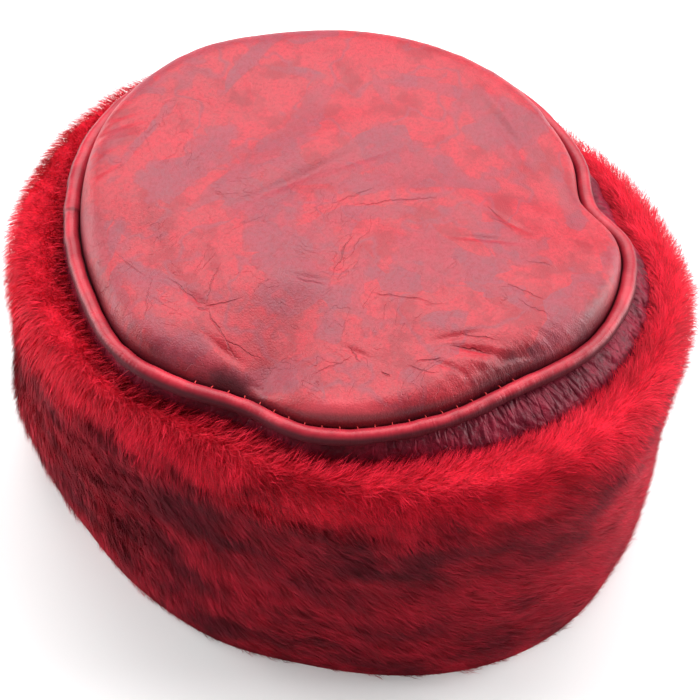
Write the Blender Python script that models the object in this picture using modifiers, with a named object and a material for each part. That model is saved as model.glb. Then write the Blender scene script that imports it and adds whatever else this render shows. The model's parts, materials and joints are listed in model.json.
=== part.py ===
"""A kubanka: a low hat with a puffed leather crown, a corded seam round its edge and a band of short fur.

The hat stands on its band on the XY plane. +Z is up, the wearer faces -Y and the origin is the middle of the
base. Sizes are in metres. Angles are in degrees, anticlockwise from +X as seen from above.
"""

import math
import random
from collections import namedtuple

import bmesh
import bpy
from mathutils import Matrix, Vector

# Driving dimensions. A half size is the breadth along X, then the length along Y.
BASE_HALF = (0.1030, 0.1222)
SHOULDER_HALF = (0.1085, 0.1240)
HEAD_HALF = (0.083, 0.102)
OVAL_POWER = 2.15
SHOULDER_HEIGHT = 0.084
BAND_HEIGHT = 0.1045
PIPING_HEIGHT = 0.1125
LIP_HEIGHT = 0.0985
CORD_DIAMETER = 0.0054
LEATHER = 0.0015
CROWN_THICKNESS = 0.003
GAP = 0.0003

# How finely the pieces are divided round the hat. All of them share it, so that their facets lie side by side.
COLUMNS = 64
CORD_BEVEL_STEPS = 2

# Crown edge, one row for each bend of the seam: how far out the piping runs, how far out the fur's inner lip
# lies, how much higher than PIPING_HEIGHT the seam is, how high the padding puffs up behind it, and how far
# in the puffed edge reaches, as a share of the radius.
Edge = namedtuple("Edge", "angle piping lip lift puff slope")
EDGE = (
    Edge(-174, 0.0895, 0.0935, -0.0015, 0.0050, 0.30),
    Edge(-158, 0.0950, 0.0985, 0.0000, 0.0088, 0.16),
    Edge(-135, 0.0918, 0.0990, 0.0004, 0.0092, 0.17),
    Edge(-114, 0.0890, 0.1025, 0.0004, 0.0095, 0.19),
    Edge(-92, 0.0952, 0.1060, 0.0002, 0.0088, 0.15),
    Edge(-73, 0.0966, 0.1075, 0.0000, 0.0068, 0.12),
    Edge(-62, 0.0950, 0.1055, -0.0008, 0.0050, 0.16),
    Edge(-50, 0.0856, 0.0995, -0.0014, 0.0058, 0.12),
    Edge(-35, 0.0903, 0.0998, -0.0004, 0.0068, 0.16),
    Edge(-15, 0.0940, 0.0988, 0.0004, 0.0118, 0.16),
    Edge(15, 0.0986, 0.1024, 0.0010, 0.0112, 0.14),
    Edge(50, 0.0998, 0.1040, 0.0014, 0.0130, 0.15),
    Edge(70, 0.1012, 0.1054, 0.0011, 0.0158, 0.14),
    Edge(90, 0.1024, 0.1068, 0.0008, 0.0125, 0.12),
    Edge(117, 0.0983, 0.1030, -0.0004, 0.0125, 0.10),
    Edge(140, 0.0968, 0.1005, 0.0000, 0.0075, 0.15),
    Edge(162, 0.0985, 0.1010, 0.0004, 0.0080, 0.16),
)

# Fur band, one row for each stretch: how far its base and its shoulder stand out beyond their ovals, and how
# much higher than BAND_HEIGHT the rim is.
Band = namedtuple("Band", "angle base shoulder rim")
BAND = (
    Band(-174, 0.0060, 0.0000, 0.0000),
    Band(-154, 0.0030, 0.0000, 0.0000),
    Band(-115, 0.0022, 0.0000, 0.0000),
    Band(-88, 0.0000, -0.0010, 0.0000),
    Band(-65, -0.0010, -0.0012, 0.0000),
    Band(-40, -0.0010, -0.0028, -0.0010),
    Band(-20, -0.0010, -0.0044, -0.0038),
    Band(5, 0.0000, -0.0046, -0.0055),
    Band(40, 0.0000, -0.0030, -0.0045),
    Band(70, 0.0000, -0.0026, -0.0030),
    Band(90, 0.0000, -0.0026, -0.0008),
    Band(106, 0.0000, -0.0018, -0.0004),
    Band(121, 0.0010, -0.0004, 0.0000),
    Band(147, -0.0008, 0.0000, 0.0000),
    Band(168, 0.0036, 0.0000, 0.0000),
)

# Dents and bulges of the fur's side, one row for each: where it is, how wide it is and how far it stands out.
Swell = namedtuple("Swell", "angle width height reach out")
SWELLS = (
    Swell(-176, 14, 0.060, 0.030, -0.0016),
    Swell(-160, 12, 0.035, 0.022, 0.0014),
    Swell(-132, 13, 0.062, 0.024, -0.0014),
    Swell(-112, 12, 0.030, 0.022, -0.0012),
    Swell(-85, 13, 0.068, 0.024, -0.0022),
    Swell(-60, 16, 0.040, 0.030, -0.0012),
    Swell(-20, 20, 0.060, 0.035, 0.0012),
    Swell(35, 22, 0.045, 0.035, -0.0014),
    Swell(85, 20, 0.062, 0.032, 0.0012),
    Swell(128, 14, 0.032, 0.018, 0.0042),
    Swell(148, 14, 0.068, 0.026, 0.0014),
)

# Soft folds across the crown, one row for each: where its middle is, which way it runs, its size and its rise.
Fold = namedtuple("Fold", "x y turn length width rise")
FOLDS = (
    Fold(0.007, 0.031, 155, 0.034, 0.007, 0.0016),
    Fold(-0.002, 0.020, 155, 0.034, 0.006, -0.0014),
    Fold(0.014, 0.058, 54, 0.018, 0.007, -0.0013),
    Fold(0.019, -0.026, 118, 0.022, 0.007, 0.0013),
    Fold(0.026, -0.044, 100, 0.020, 0.007, -0.0012),
    Fold(-0.015, -0.040, 91, 0.016, 0.008, 0.0014),
    Fold(-0.003, -0.012, 97, 0.018, 0.006, -0.0012),
    Fold(-0.037, -0.064, 113, 0.014, 0.006, -0.0016),
    Fold(-0.041, -0.006, 120, 0.018, 0.007, 0.0013),
    Fold(-0.066, 0.022, 80, 0.014, 0.007, -0.0013),
    Fold(-0.042, 0.049, 53, 0.020, 0.008, 0.0013),
    Fold(0.054, 0.043, 119, 0.022, 0.009, 0.0013),
    Fold(0.056, -0.006, 40, 0.022, 0.009, -0.0012),
)

# The crown panel: its rise from the puffed edge to its middle, how square the puffed edge is, how far its hem
# turns down inside the seam, and the rings it is built on.
CROWN_RISE = 0.0030
CROWN_SQUARENESS = 2.5
SEAM_ALLOWANCE = 0.003
CROWN_RINGS = (0.11, 0.22, 0.34, 0.46, 0.58, 0.69, 0.79, 0.87, 0.93, 0.975, 1.0)

# Puckers where leather is gathered into the seam: how many would fit round the hat, and their greatest depth.
PUCKERS = COLUMNS // 2
CROWN_PUCKER_DEPTH = 0.0007
SIDE_PUCKER_DEPTH = 0.0026

# Fur locks, laid like scales. Each is two columns long and two rows wide, and its tip stands up and leans over.
SIDE_ROWS = 22
RIM_ROWS = 10
HEM_INSET = 0.0030
HEM_HEIGHT = 0.0040
LOCK_LENGTH = 0.0027
LOCK_LEAN = 0.0060
ROOT_DEPTH = 1.15 * LOCK_LENGTH
ROW_JITTER = 0.0011
COLUMN_JITTER = 0.0026
SEED = 7

# The waves that the rows of locks follow round the band.
ROW_WAVE = 0.0030
ROW_WAVE_TURNS = (3, 7)

RIM_SQUARENESS = 0.75
BAND_INNER_HEIGHTS = (0.092, 0.062, 0.032, 0.0)
WALL_HEIGHTS = (0.092, 0.062, 0.032, 0.004)
STRIP_SHARES = (0.0, 0.3, 0.6, 0.85)

RED_FUR = (0.50, 0.010, 0.018)
RED_LEATHER = (0.36, 0.022, 0.035)
DARK_LEATHER = (0.20, 0.012, 0.022)


def direction(angle):
    """The level unit vector that points out at an angle."""
    turn = math.radians(angle)
    return Vector((math.cos(turn), math.sin(turn), 0.0))


def place_at(angle, out, height):
    return direction(angle) * out + Vector((0.0, 0.0, height))


def oval(half, angle):
    """How far out an oval with these half sizes lies at an angle."""
    out = direction(angle)
    across = abs(out.x / half[0]) ** OVAL_POWER
    along = abs(out.y / half[1]) ** OVAL_POWER
    return (across + along) ** (-1 / OVAL_POWER)


def blend(start, end, share):
    return start + (end - start) * share


def ease(share):
    """A smooth step from 0 to 1."""
    share = min(1.0, max(0.0, share))
    return share * share * (3 - 2 * share)


def round_hat(table, column, angle):
    """A column of a table at an angle, on a smooth closed curve through its rows."""
    rows = len(table)
    angle = (angle - table[0].angle) % 360 + table[0].angle
    at = max(i for i, row in enumerate(table) if row.angle <= angle + 1e-9)
    near = [table[(at + step) % rows] for step in (-1, 0, 1, 2)]
    value = [getattr(row, column) for row in near]
    before, span, after = ((b.angle - a.angle) % 360 for a, b in zip(near, near[1:]))
    slope_in = (value[2] - value[0]) / (before + span) * span
    slope_out = (value[3] - value[1]) / (span + after) * span
    share = (angle - near[1].angle) % 360 / span
    square, cube = share**2, share**3
    return (
        (2 * cube - 3 * square + 1) * value[1]
        + (cube - 2 * square + share) * slope_in
        + (3 * square - 2 * cube) * value[2]
        + (cube - square) * slope_out
    )


def edge(column, angle):
    return round_hat(EDGE, column, angle)


def edge_mean(column):
    return sum(getattr(row, column) for row in EDGE) / len(EDGE)


def swell(angle, height):
    """How far the dents and bulges of the fur's side move its face out."""
    out = 0.0
    for row in SWELLS:
        around = ((angle - row.angle + 180) % 360 - 180) / row.width
        up = (height - row.height) / row.reach
        out += row.out * math.exp(-(around**2) - up**2)
    return out


def pucker(angle):
    """How deep the gathers of the leather are at an angle, from 0 to 1."""
    turn = math.radians(angle)
    strength = 0.55 + 0.45 * math.sin(5 * turn + 1.1) * math.cos(3 * turn)
    return strength * (0.5 - 0.5 * math.cos(PUCKERS * turn))


def wall_out(angle, height):
    """The outer face of the leather wall: the head's oval at the base, and the fur's lip at the top."""
    base = oval(HEAD_HALF, angle) + LEATHER
    top = edge("lip", angle) - GAP
    return blend(base, top, ease(height / LIP_HEIGHT))


def seam_height(angle):
    return PIPING_HEIGHT + edge("lift", angle)


def turned(row_count, closed, place):
    """A mesh of rows turned round the hat's axis. place(row, angle) gives each point its real place."""
    mesh = bmesh.new()
    row_layer = mesh.verts.layers.int.new("row")
    profile = [mesh.verts.new((1.0, 0.0, float(row))) for row in range(row_count)]
    pairs = list(zip(profile, profile[1:])) + ([(profile[-1], profile[0])] if closed else [])
    edges = [mesh.edges.new(pair) for pair in pairs]
    bmesh.ops.spin(
        mesh,
        geom=profile + edges,
        cent=(0, 0, 0),
        axis=(0, 0, 1),
        angle=2 * math.pi,
        steps=COLUMNS,
        use_merge=True,
    )
    for vertex in mesh.verts:
        angle = math.degrees(math.atan2(vertex.co.y, vertex.co.x))
        vertex[row_layer] = round(vertex.co.z)
        vertex.co = place(vertex[row_layer], angle)
    bmesh.ops.recalc_face_normals(mesh, faces=mesh.faces)
    return mesh


def plain_material(name, colour, roughness):
    material = bpy.data.materials.new(name)
    material.use_nodes = True
    shader = material.node_tree.nodes["Principled BSDF"]
    shader.inputs["Base Color"].default_value = (*colour, 1.0)
    shader.inputs["Roughness"].default_value = roughness
    shader.inputs["Metallic"].default_value = 0.0
    return material


def add_object(name, data, material, collection):
    data.materials.append(material)
    made = bpy.data.objects.new(name, data)
    collection.objects.link(made)
    return made


def object_from(mesh, name, material, collection):
    data = bpy.data.meshes.new(name)
    mesh.to_mesh(data)
    mesh.free()
    data.shade_smooth()
    return add_object(name, data, material, collection)


def face_out(mesh):
    """Turns an open shell's faces away from the middle of the hat's base."""
    if sum(face.normal.dot(face.calc_center_median()) for face in mesh.faces) < 0:
        bmesh.ops.reverse_faces(mesh, faces=mesh.faces)


def thicken(shell, thickness):
    """Solidify inwards from the face that shows."""
    solidify = shell.modifiers.new("wall", "SOLIDIFY")
    solidify.thickness = thickness
    solidify.offset = -1
    solidify.use_even_offset = True


def fold_rise(point):
    """The rise of the soft folds at a point of the crown."""
    rise = 0.0
    for row in FOLDS:
        turn = math.radians(row.turn)
        x, y = point.x - row.x, point.y - row.y
        along = (x * math.cos(turn) + y * math.sin(turn)) / row.length
        across = (y * math.cos(turn) - x * math.sin(turn)) / row.width
        rise += row.rise * math.exp(-(along**2) - across**2)
    return rise


def crown_point(angle, share):
    """A point of the crown's top face, share of the way from its middle to its edge."""
    steady = 1 - ease((share - 0.45) / 0.45)
    seam, puff, slope = (
        blend(edge(column, angle), edge_mean(column), steady) for column in ("lift", "puff", "slope")
    )
    out = edge("piping", angle) - CORD_DIAMETER / 2 - GAP
    point = place_at(angle, out * share, PIPING_HEIGHT + seam + CROWN_THICKNESS / 2)
    flat = max(0.0, 1 - (1 - share) / slope)
    point.z += puff * (1 - flat**CROWN_SQUARENESS) ** (1 / CROWN_SQUARENESS)
    point.z += CROWN_RISE * (1 - share**2)
    point.z += fold_rise(point) * ease((1 - share) / 0.12)
    point.z -= CROWN_PUCKER_DEPTH * pucker(angle) * ease((share - 0.7) / 0.2) * ease((1 - share) / 0.03)
    return point


def build_crown_top(material, collection):
    """The puffed top panel. Its edge turns down inside the seam, and below it is hollow."""

    def place(row, angle):
        if row < len(CROWN_RINGS):
            return crown_point(angle, CROWN_RINGS[row])
        out = edge("piping", angle) - CORD_DIAMETER / 2 - 2 * GAP
        return place_at(angle, out, seam_height(angle) - SEAM_ALLOWANCE)

    mesh = turned(len(CROWN_RINGS) + 1, False, place)
    inner = [rim for rim in mesh.edges if rim.is_boundary and rim.verts[0].co.z > PIPING_HEIGHT]
    hole = bmesh.ops.holes_fill(mesh, edges=inner, sides=COLUMNS)["faces"]
    bmesh.ops.poke(mesh, faces=hole)
    bmesh.ops.recalc_face_normals(mesh, faces=mesh.faces)
    face_out(mesh)
    panel = object_from(mesh, "crown_top", material, collection)
    thicken(panel, CROWN_THICKNESS)
    return panel


def build_piping(material, collection):
    """The leather cord sewn into the seam, closed round the crown."""
    curve = bpy.data.curves.new("piping", "CURVE")
    curve.dimensions = "3D"
    curve.bevel_depth = CORD_DIAMETER / 2
    curve.bevel_resolution = CORD_BEVEL_STEPS
    spline = curve.splines.new("POLY")
    spline.points.add(COLUMNS - 1)
    for column, point in enumerate(spline.points):
        angle = 360 * column / COLUMNS
        point.co = (*place_at(angle, edge("piping", angle), seam_height(angle)), 1.0)
    spline.use_cyclic_u = True
    return add_object("piping", curve, material, collection)


def strip_point(angle, share):
    """A point of the gathered strip that shows between the piping, at share 0, and the fur, at share 1."""
    turn = share * math.pi / 2
    start = edge("piping", angle) + LEATHER / 2
    top = seam_height(angle) - CORD_DIAMETER / 2 - GAP
    depth = SIDE_PUCKER_DEPTH * pucker(angle) * math.sin(share * math.pi)
    out = blend(start, wall_out(angle, LIP_HEIGHT), math.sin(turn)) - depth
    return place_at(angle, out, blend(LIP_HEIGHT, top, math.cos(turn)) - depth)


def build_crown_side(material, collection):
    """The leather wall: it leaves the seam, swells out to the fur's lip and runs down inside the band."""

    def place(row, angle):
        if row < len(STRIP_SHARES):
            return strip_point(angle, STRIP_SHARES[row])
        height = WALL_HEIGHTS[row - len(STRIP_SHARES)]
        return place_at(angle, wall_out(angle, height), height)

    mesh = turned(len(STRIP_SHARES) + len(WALL_HEIGHTS), False, place)
    face_out(mesh)
    wall = object_from(mesh, "crown_side", material, collection)
    thicken(wall, LEATHER)
    return wall


def band_face(angle, height):
    """How far out the roots of the locks lie on the side of the band."""
    base = oval(BASE_HALF, angle) + round_hat(BAND, "base", angle)
    shoulder = oval(SHOULDER_HALF, angle) + round_hat(BAND, "shoulder", angle)
    return blend(base, shoulder, ease(height / SHOULDER_HEIGHT)) + swell(angle, height) - ROOT_DEPTH


def rim_point(angle, share):
    """A root on the roll of fur that runs from the shoulder, at share 0, over the top to the lip, at share 1."""
    outer = band_face(angle, SHOULDER_HEIGHT)
    lip = wall_out(angle, LIP_HEIGHT) + GAP
    sway = math.cos(math.pi * share)
    sway = math.copysign(abs(sway) ** RIM_SQUARENESS, sway)
    foot = SHOULDER_HEIGHT if share < 0.5 else LIP_HEIGHT
    top = BAND_HEIGHT + round_hat(BAND, "rim", angle) - 0.6 * LOCK_LENGTH
    rise = math.sin(math.pi * share) ** RIM_SQUARENESS
    return place_at(angle, blend(lip, outer, (sway + 1) / 2), blend(foot, top, rise))


def side_point(angle, share):
    """A root on the band's side, from the hem at share 0 to the shoulder at share 1, in wavy rows."""
    turn = math.radians(angle)
    wave = sum(math.sin(count * turn + count) for count in ROW_WAVE_TURNS) / len(ROW_WAVE_TURNS)
    height = blend(HEM_HEIGHT, SHOULDER_HEIGHT, share)
    height += ROW_WAVE * wave * ease(share / 0.3) * ease((1 - share) / 0.3)
    return place_at(angle, band_face(angle, height), height)


def band_point(row, angle):
    """A point of the band's closed section: the hem's edge, up the side, over the rim, then down the hide."""
    if row == 0:
        return place_at(angle, band_face(angle, 0.0) - HEM_INSET, 0.0)
    if row <= SIDE_ROWS + 1:
        return side_point(angle, (row - 1) / SIDE_ROWS)
    if row <= SIDE_ROWS + 1 + RIM_ROWS:
        return rim_point(angle, (row - 1 - SIDE_ROWS) / RIM_ROWS)
    height = BAND_INNER_HEIGHTS[row - SIDE_ROWS - RIM_ROWS - 2]
    return place_at(angle, wall_out(angle, height) + GAP, height)


def raise_locks(mesh, tips, last_row):
    """Stirs the roots, then raises each tip and leans it along the lie of the fur."""
    chance = random.Random(SEED)
    row_layer = mesh.verts.layers.int["row"]
    mesh.normal_update()
    moves = []
    for vertex in mesh.verts:
        row = vertex[row_layer]
        out = Vector((vertex.co.x, vertex.co.y, 0.0)).normalized()
        around = Vector((-out.y, out.x, 0.0))
        up_side = vertex.normal.cross(around) * -1
        stir = ease((row - 1) / 2) * ease((last_row - 1 - row) / 2)
        move = around * chance.uniform(-COLUMN_JITTER, COLUMN_JITTER) * stir
        move += up_side * chance.uniform(-ROW_JITTER, ROW_JITTER) * stir
        tall, lean = chance.uniform(0.7, 1.2), chance.uniform(0.5, 1.3)
        if vertex in tips:
            over = ease((row - SIDE_ROWS) / RIM_ROWS * 2)
            lie = around.lerp(out, over)
            stand = min(1.0, (last_row - row) / 3)
            move += (vertex.normal * LOCK_LENGTH * tall + lie * LOCK_LEAN * lean * (1 - 0.5 * over)) * stand
        moves.append((vertex, move))
    for vertex, move in moves:
        vertex.co += move


def build_fur_band(material, collection):
    """The fur band, a thick ring. Its outside is raised into locks that lie along it, and its hem is flat."""
    last_row = SIDE_ROWS + 1 + RIM_ROWS
    row_count = last_row + 1 + len(BAND_INNER_HEIGHTS)
    mesh = turned(row_count, True, band_point)
    row_layer = mesh.verts.layers.int["row"]
    tips = set()
    for vertex in mesh.verts:
        row = vertex[row_layer]
        column = round(math.degrees(math.atan2(vertex.co.y, vertex.co.x)) / 360 * COLUMNS)
        if 0 < row < last_row and (row + column) % 2:
            tips.add(vertex)
    for face in list(mesh.faces):
        rows = [vertex[row_layer] for vertex in face.verts]
        roots = [vertex for vertex in face.verts if (vertex not in tips)]
        if max(rows) <= last_row and len(roots) == 2:
            bmesh.utils.face_split(face, roots[0], roots[1])
    raise_locks(mesh, tips, last_row)
    return object_from(mesh, "fur_band", material, collection)


def centre(pieces, band):
    """Moves all the pieces alike, so that the Z axis runs through the middle of the band."""
    spots = [vertex.co for vertex in band.data.vertices]
    middle = [(min(spot[axis] for spot in spots) + max(spot[axis] for spot in spots)) / 2 for axis in (0, 1)]
    for piece in pieces:
        piece.data.transform(Matrix.Translation((-middle[0], -middle[1], 0.0)))


def main():
    for old in list(bpy.data.objects):
        bpy.data.objects.remove(old)
    collection = bpy.data.collections.new("kubanka")
    bpy.context.scene.collection.children.link(collection)
    crown = build_crown_top(plain_material("crown_leather", RED_LEATHER, 0.42), collection)
    piping = build_piping(plain_material("piping_leather", RED_LEATHER, 0.38), collection)
    side = build_crown_side(plain_material("side_leather", DARK_LEATHER, 0.45), collection)
    band = build_fur_band(plain_material("fur", RED_FUR, 0.9), collection)
    centre((crown, piping, side, band), band)


main()
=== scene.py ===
"""Looks of the kubanka: its leather crown, corded seam, gathered strip and fur, built round the CAD frame.

Sizes are in metres, but for the tables' columns in mm, and angles in degrees. The axes are the CAD's: +Z
up, and the wearer faces -Y. The frame holds only solids, so the driving dimensions and the tables of the
seam, the band and the folds repeat the CAD's.
"""

import json
import math
from collections import namedtuple

import bpy
import numpy as np
from mathutils import Matrix, Vector

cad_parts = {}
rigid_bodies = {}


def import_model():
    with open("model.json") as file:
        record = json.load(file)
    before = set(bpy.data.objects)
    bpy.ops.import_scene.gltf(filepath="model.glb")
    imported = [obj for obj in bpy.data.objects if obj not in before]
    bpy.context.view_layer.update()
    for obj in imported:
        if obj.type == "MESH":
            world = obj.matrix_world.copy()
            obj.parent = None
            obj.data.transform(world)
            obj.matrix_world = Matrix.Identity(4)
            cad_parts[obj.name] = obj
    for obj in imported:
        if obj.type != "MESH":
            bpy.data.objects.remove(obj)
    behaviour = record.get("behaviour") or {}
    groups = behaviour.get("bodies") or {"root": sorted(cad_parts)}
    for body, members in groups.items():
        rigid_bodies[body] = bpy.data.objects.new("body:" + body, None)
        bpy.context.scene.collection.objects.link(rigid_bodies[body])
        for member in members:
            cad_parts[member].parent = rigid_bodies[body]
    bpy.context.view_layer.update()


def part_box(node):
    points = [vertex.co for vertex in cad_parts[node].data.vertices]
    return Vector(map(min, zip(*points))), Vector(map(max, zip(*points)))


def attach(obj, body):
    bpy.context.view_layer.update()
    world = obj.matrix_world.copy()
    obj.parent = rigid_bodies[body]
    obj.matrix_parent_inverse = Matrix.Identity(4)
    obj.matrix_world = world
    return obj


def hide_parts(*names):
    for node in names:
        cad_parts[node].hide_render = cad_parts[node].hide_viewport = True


BODY = "root"


def table(columns, *rows):
    """Rows of values with named columns. A column in _mm is turned into metres and loses that ending."""
    names = columns.split()
    row_type = namedtuple("Row", [name.removesuffix("_mm") for name in names])

    def in_metres(name, value):
        return value / 1000 if name.endswith("_mm") else value

    return tuple(row_type(*map(in_metres, names, row)) for row in rows)


# Driving dimensions, as in the CAD. A half size is the breadth along X, then the length along Y.
BASE_HALF = (0.1030, 0.1222)
SHOULDER_HALF = (0.1085, 0.1240)
HEAD_HALF = (0.083, 0.102)
OVAL_POWER = 2.15
SHOULDER_HEIGHT = 0.084
BAND_HEIGHT = 0.1045
PIPING_HEIGHT = 0.1125
LIP_HEIGHT = 0.0985
CORD_DIAMETER = 0.0054
LEATHER = 0.0015
CROWN_THICKNESS = 0.003
GAP = 0.0003
LOCK_LENGTH = 0.0027
ROOT_DEPTH = 1.15 * LOCK_LENGTH
RIM_ROOT_DEPTH = 0.6 * LOCK_LENGTH
RIM_SQUARENESS = 0.75
CROWN_RISE = 0.0030
CROWN_SQUARENESS = 2.5
SEAM_ALLOWANCE = 0.003
HEM_HEIGHT = 0.0040

# Crown edge, one row for each bend of the seam: how far out the piping runs and the fur's inner lip lies,
# how much higher than PIPING_HEIGHT the seam is, how high the padding puffs up behind it, and how far in
# the puffed edge reaches, as a share of the radius.
EDGE = table(
    "angle piping_mm lip_mm lift_mm puff_mm slope",
    (-174, 89.5, 93.5, -1.5, 5, 0.30),
    (-158, 95, 98.5, 0, 8.8, 0.16),
    (-135, 91.8, 99, 0.4, 9.2, 0.17),
    (-114, 89, 102.5, 0.4, 9.5, 0.19),
    (-92, 95.2, 106, 0.2, 8.8, 0.15),
    (-73, 96.6, 107.5, 0, 6.8, 0.12),
    (-62, 95, 105.5, -0.8, 5, 0.16),
    (-50, 85.6, 99.5, -1.4, 5.8, 0.12),
    (-35, 90.3, 99.8, -0.4, 6.8, 0.16),
    (-15, 94, 98.8, 0.4, 11.8, 0.16),
    (15, 98.6, 102.4, 1, 11.2, 0.14),
    (50, 99.8, 104, 1.4, 13, 0.15),
    (70, 101.2, 105.4, 1.1, 15.8, 0.14),
    (90, 102.4, 106.8, 0.8, 12.5, 0.12),
    (117, 98.3, 103, -0.4, 12.5, 0.10),
    (140, 96.8, 100.5, 0, 7.5, 0.15),
    (162, 98.5, 101, 0.4, 8, 0.16),
)

# Fur band, one row for each stretch: how far its base and its shoulder stand out beyond their ovals, and
# how much higher than BAND_HEIGHT the rim is.
BAND = table(
    "angle base_mm shoulder_mm rim_mm",
    (-174, 6, 0, 0),
    (-154, 3, 0, 0),
    (-115, 2.2, 0, 0),
    (-88, 0, -1, 0),
    (-65, -1, -1.2, 0),
    (-40, -1, -2.8, -1),
    (-20, -1, -4.4, -3.8),
    (5, 0, -4.6, -5.5),
    (40, 0, -3, -4.5),
    (70, 0, -2.6, -3),
    (90, 0, -2.6, -0.8),
    (106, 0, -1.8, -0.4),
    (121, 1, -0.4, 0),
    (147, -0.8, 0, 0),
    (168, 3.6, 0, 0),
)

# Dents and bulges of the fur's side, one row for each: its place, its half sizes, and how far out it stands.
SWELLS = table(
    "angle width height_mm reach_mm out_mm",
    (-176, 14, 60, 30, -1.6),
    (-160, 12, 35, 22, 1.4),
    (-132, 13, 62, 24, -1.4),
    (-112, 12, 30, 22, -1.2),
    (-85, 13, 68, 24, -2.2),
    (-60, 16, 40, 30, -1.2),
    (-20, 20, 60, 35, 1.2),
    (35, 22, 45, 35, -1.4),
    (85, 20, 62, 32, 1.2),
    (128, 14, 32, 18, 4.2),
    (148, 14, 68, 26, 1.4),
)

# Soft folds across the crown, one row for each: its middle, its direction, its half sizes and its rise.
MARK = "x_mm y_mm turn length_mm width_mm rise"
FOLDS = table(
    MARK + "_mm",
    (7, 31, 155, 34, 7, 1.6),
    (-2, 20, 155, 34, 6, -1.4),
    (14, 58, 54, 18, 7, -1.3),
    (19, -26, 118, 22, 7, 1.3),
    (26, -44, 100, 20, 7, -1.2),
    (-15, -40, 91, 16, 8, 1.4),
    (-3, -12, 97, 18, 6, -1.2),
    (-37, -64, 113, 14, 6, -1.6),
    (-41, -6, 120, 18, 7, 1.3),
    (-66, 22, 80, 14, 7, -1.3),
    (-42, 49, 53, 20, 8, 1.3),
    (54, 43, 119, 22, 9, 1.3),
    (56, -6, 40, 22, 9, -1.2),
)

# Sharp creases in the crown's leather. These are narrower than the CAD's folds.
CREASES = table(
    MARK + "_mm",
    (-37, -66, 113, 8, 1.3, -1.1),
    (-40, -70, 118, 9, 1.6, 0.6),
    (-24, -83, 137, 12, 1.4, -0.9),
    (-48, -62, 96, 6, 1.2, -0.7),
    (-67, 22, 80, 6, 1.4, -0.8),
    (-41, -6, 107, 7, 1.3, -0.7),
    (-59, -34, 94, 5, 1.2, -0.6),
    (-78, 4, 85, 7, 1.6, -0.8),
    (-9, 90, 144, 8, 2.2, -0.9),
    (-17, 89, 152, 10, 2.2, -0.9),
    (-22, 83, 152, 8, 2, 0.6),
    (-27, 85, 150, 7, 1.8, -0.8),
    (-37, 80, 157, 7, 1.8, -0.8),
    (-36, -58, 135, 7, 1.2, -0.7),
    (-37, -74, 149, 10, 1.4, -0.8),
    (-46, -73, 143, 10, 1.3, -0.7),
    (-30, -78, 140, 9, 1.3, -0.7),
    (-82, -13, 14, 11, 5, -2.2),
    (0, 22, 155, 26, 2.2, -0.8),
    (20, 8, 150, 12, 1.8, -0.5),
    (21, -49, 87, 6, 1.4, -0.7),
    (8, -46, 118, 10, 1.4, -0.7),
    (68, -20, 60, 16, 3, 0.8),
    (60, -30, 62, 15, 2.6, -0.7),
    (30, 62, 54, 14, 2.4, -0.5),
)

# Stains of the crown's leather, placed as the folds are. A tone above 0 is worn grey, below 0 bright red.
STAINS = table(
    "x_mm y_mm turn length_mm width_mm tone",
    (27, 53, 10, 18, 13, -1.0),
    (30, 22, 170, 22, 6, -1.1),
    (-6, 71, 175, 22, 5, -0.9),
    (53, 36, 80, 15, 6, -1.0),
    (12, -16, 128, 24, 4, -1.2),
    (27, -47, 100, 15, 6, -1.1),
    (52, 4, 95, 17, 8, -0.8),
    (66, -12, 120, 13, 3, -0.9),
    (42, -26, 30, 7, 6, -0.8),
    (48, -43, 170, 13, 4, -0.9),
    (30, -73, 165, 11, 7, -0.9),
    (8, -70, 60, 8, 6, -0.6),
    (-30, -40, 117, 17, 4, -1.0),
    (5, -38, 75, 13, 4, -1.0),
    (-24, 48, 172, 14, 3, -1.0),
    (-26, -11, 12, 15, 4, -0.6),
    (-50, 42, 60, 16, 9, -0.5),
    (-72, 4, 75, 14, 6, -0.7),
    (78, 36, 120, 8, 6, -0.7),
    (-55, -40, 140, 12, 7, -0.5),
    (24, 37, 2, 24, 6, 1.0),
    (22, 12, 172, 22, 5, 0.9),
    (28, -8, 100, 11, 9, 1.1),
    (0, -7, 130, 15, 4, 0.9),
    (-14, -34, 20, 14, 11, 0.9),
    (-29, -51, 120, 8, 5, 0.8),
    (-76, -18, 100, 12, 5, 0.8),
    (-55, -22, 30, 9, 6, 0.6),
    (12, -53, 70, 8, 5, 0.9),
    (-9, -62, 85, 10, 4, 0.8),
    (69, -2, 100, 30, 3, 1.0),
    (46, 50, 118, 15, 2.4, 1.1),
    (54, 19, 50, 12, 2.6, 1.0),
    (-60, 60, 16, 11, 2.4, 1.2),
    (-65, 43, 95, 10, 2.4, 0.9),
    (-84, 12, 85, 12, 5, 0.7),
    (-23, 18, 10, 20, 8, 0.6),
    (-48, -5, 128, 11, 5, 0.8),
    (-62, 68, 40, 12, 5, 0.8),
    (-20, 86, 10, 10, 6, 0.8),
    (-16, 57, 175, 22, 3, 0.9),
    (-14, 77, 5, 22, 2.4, 1.0),
    (36, 67, 0, 22, 2.4, 1.1),
    (-12, 41, 160, 16, 2.4, 0.8),
    (36, 86, 165, 18, 6, 0.8),
    (45, -62, 40, 20, 4, 0.7),
    (60, -40, 60, 14, 4, 0.8),
)

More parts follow.
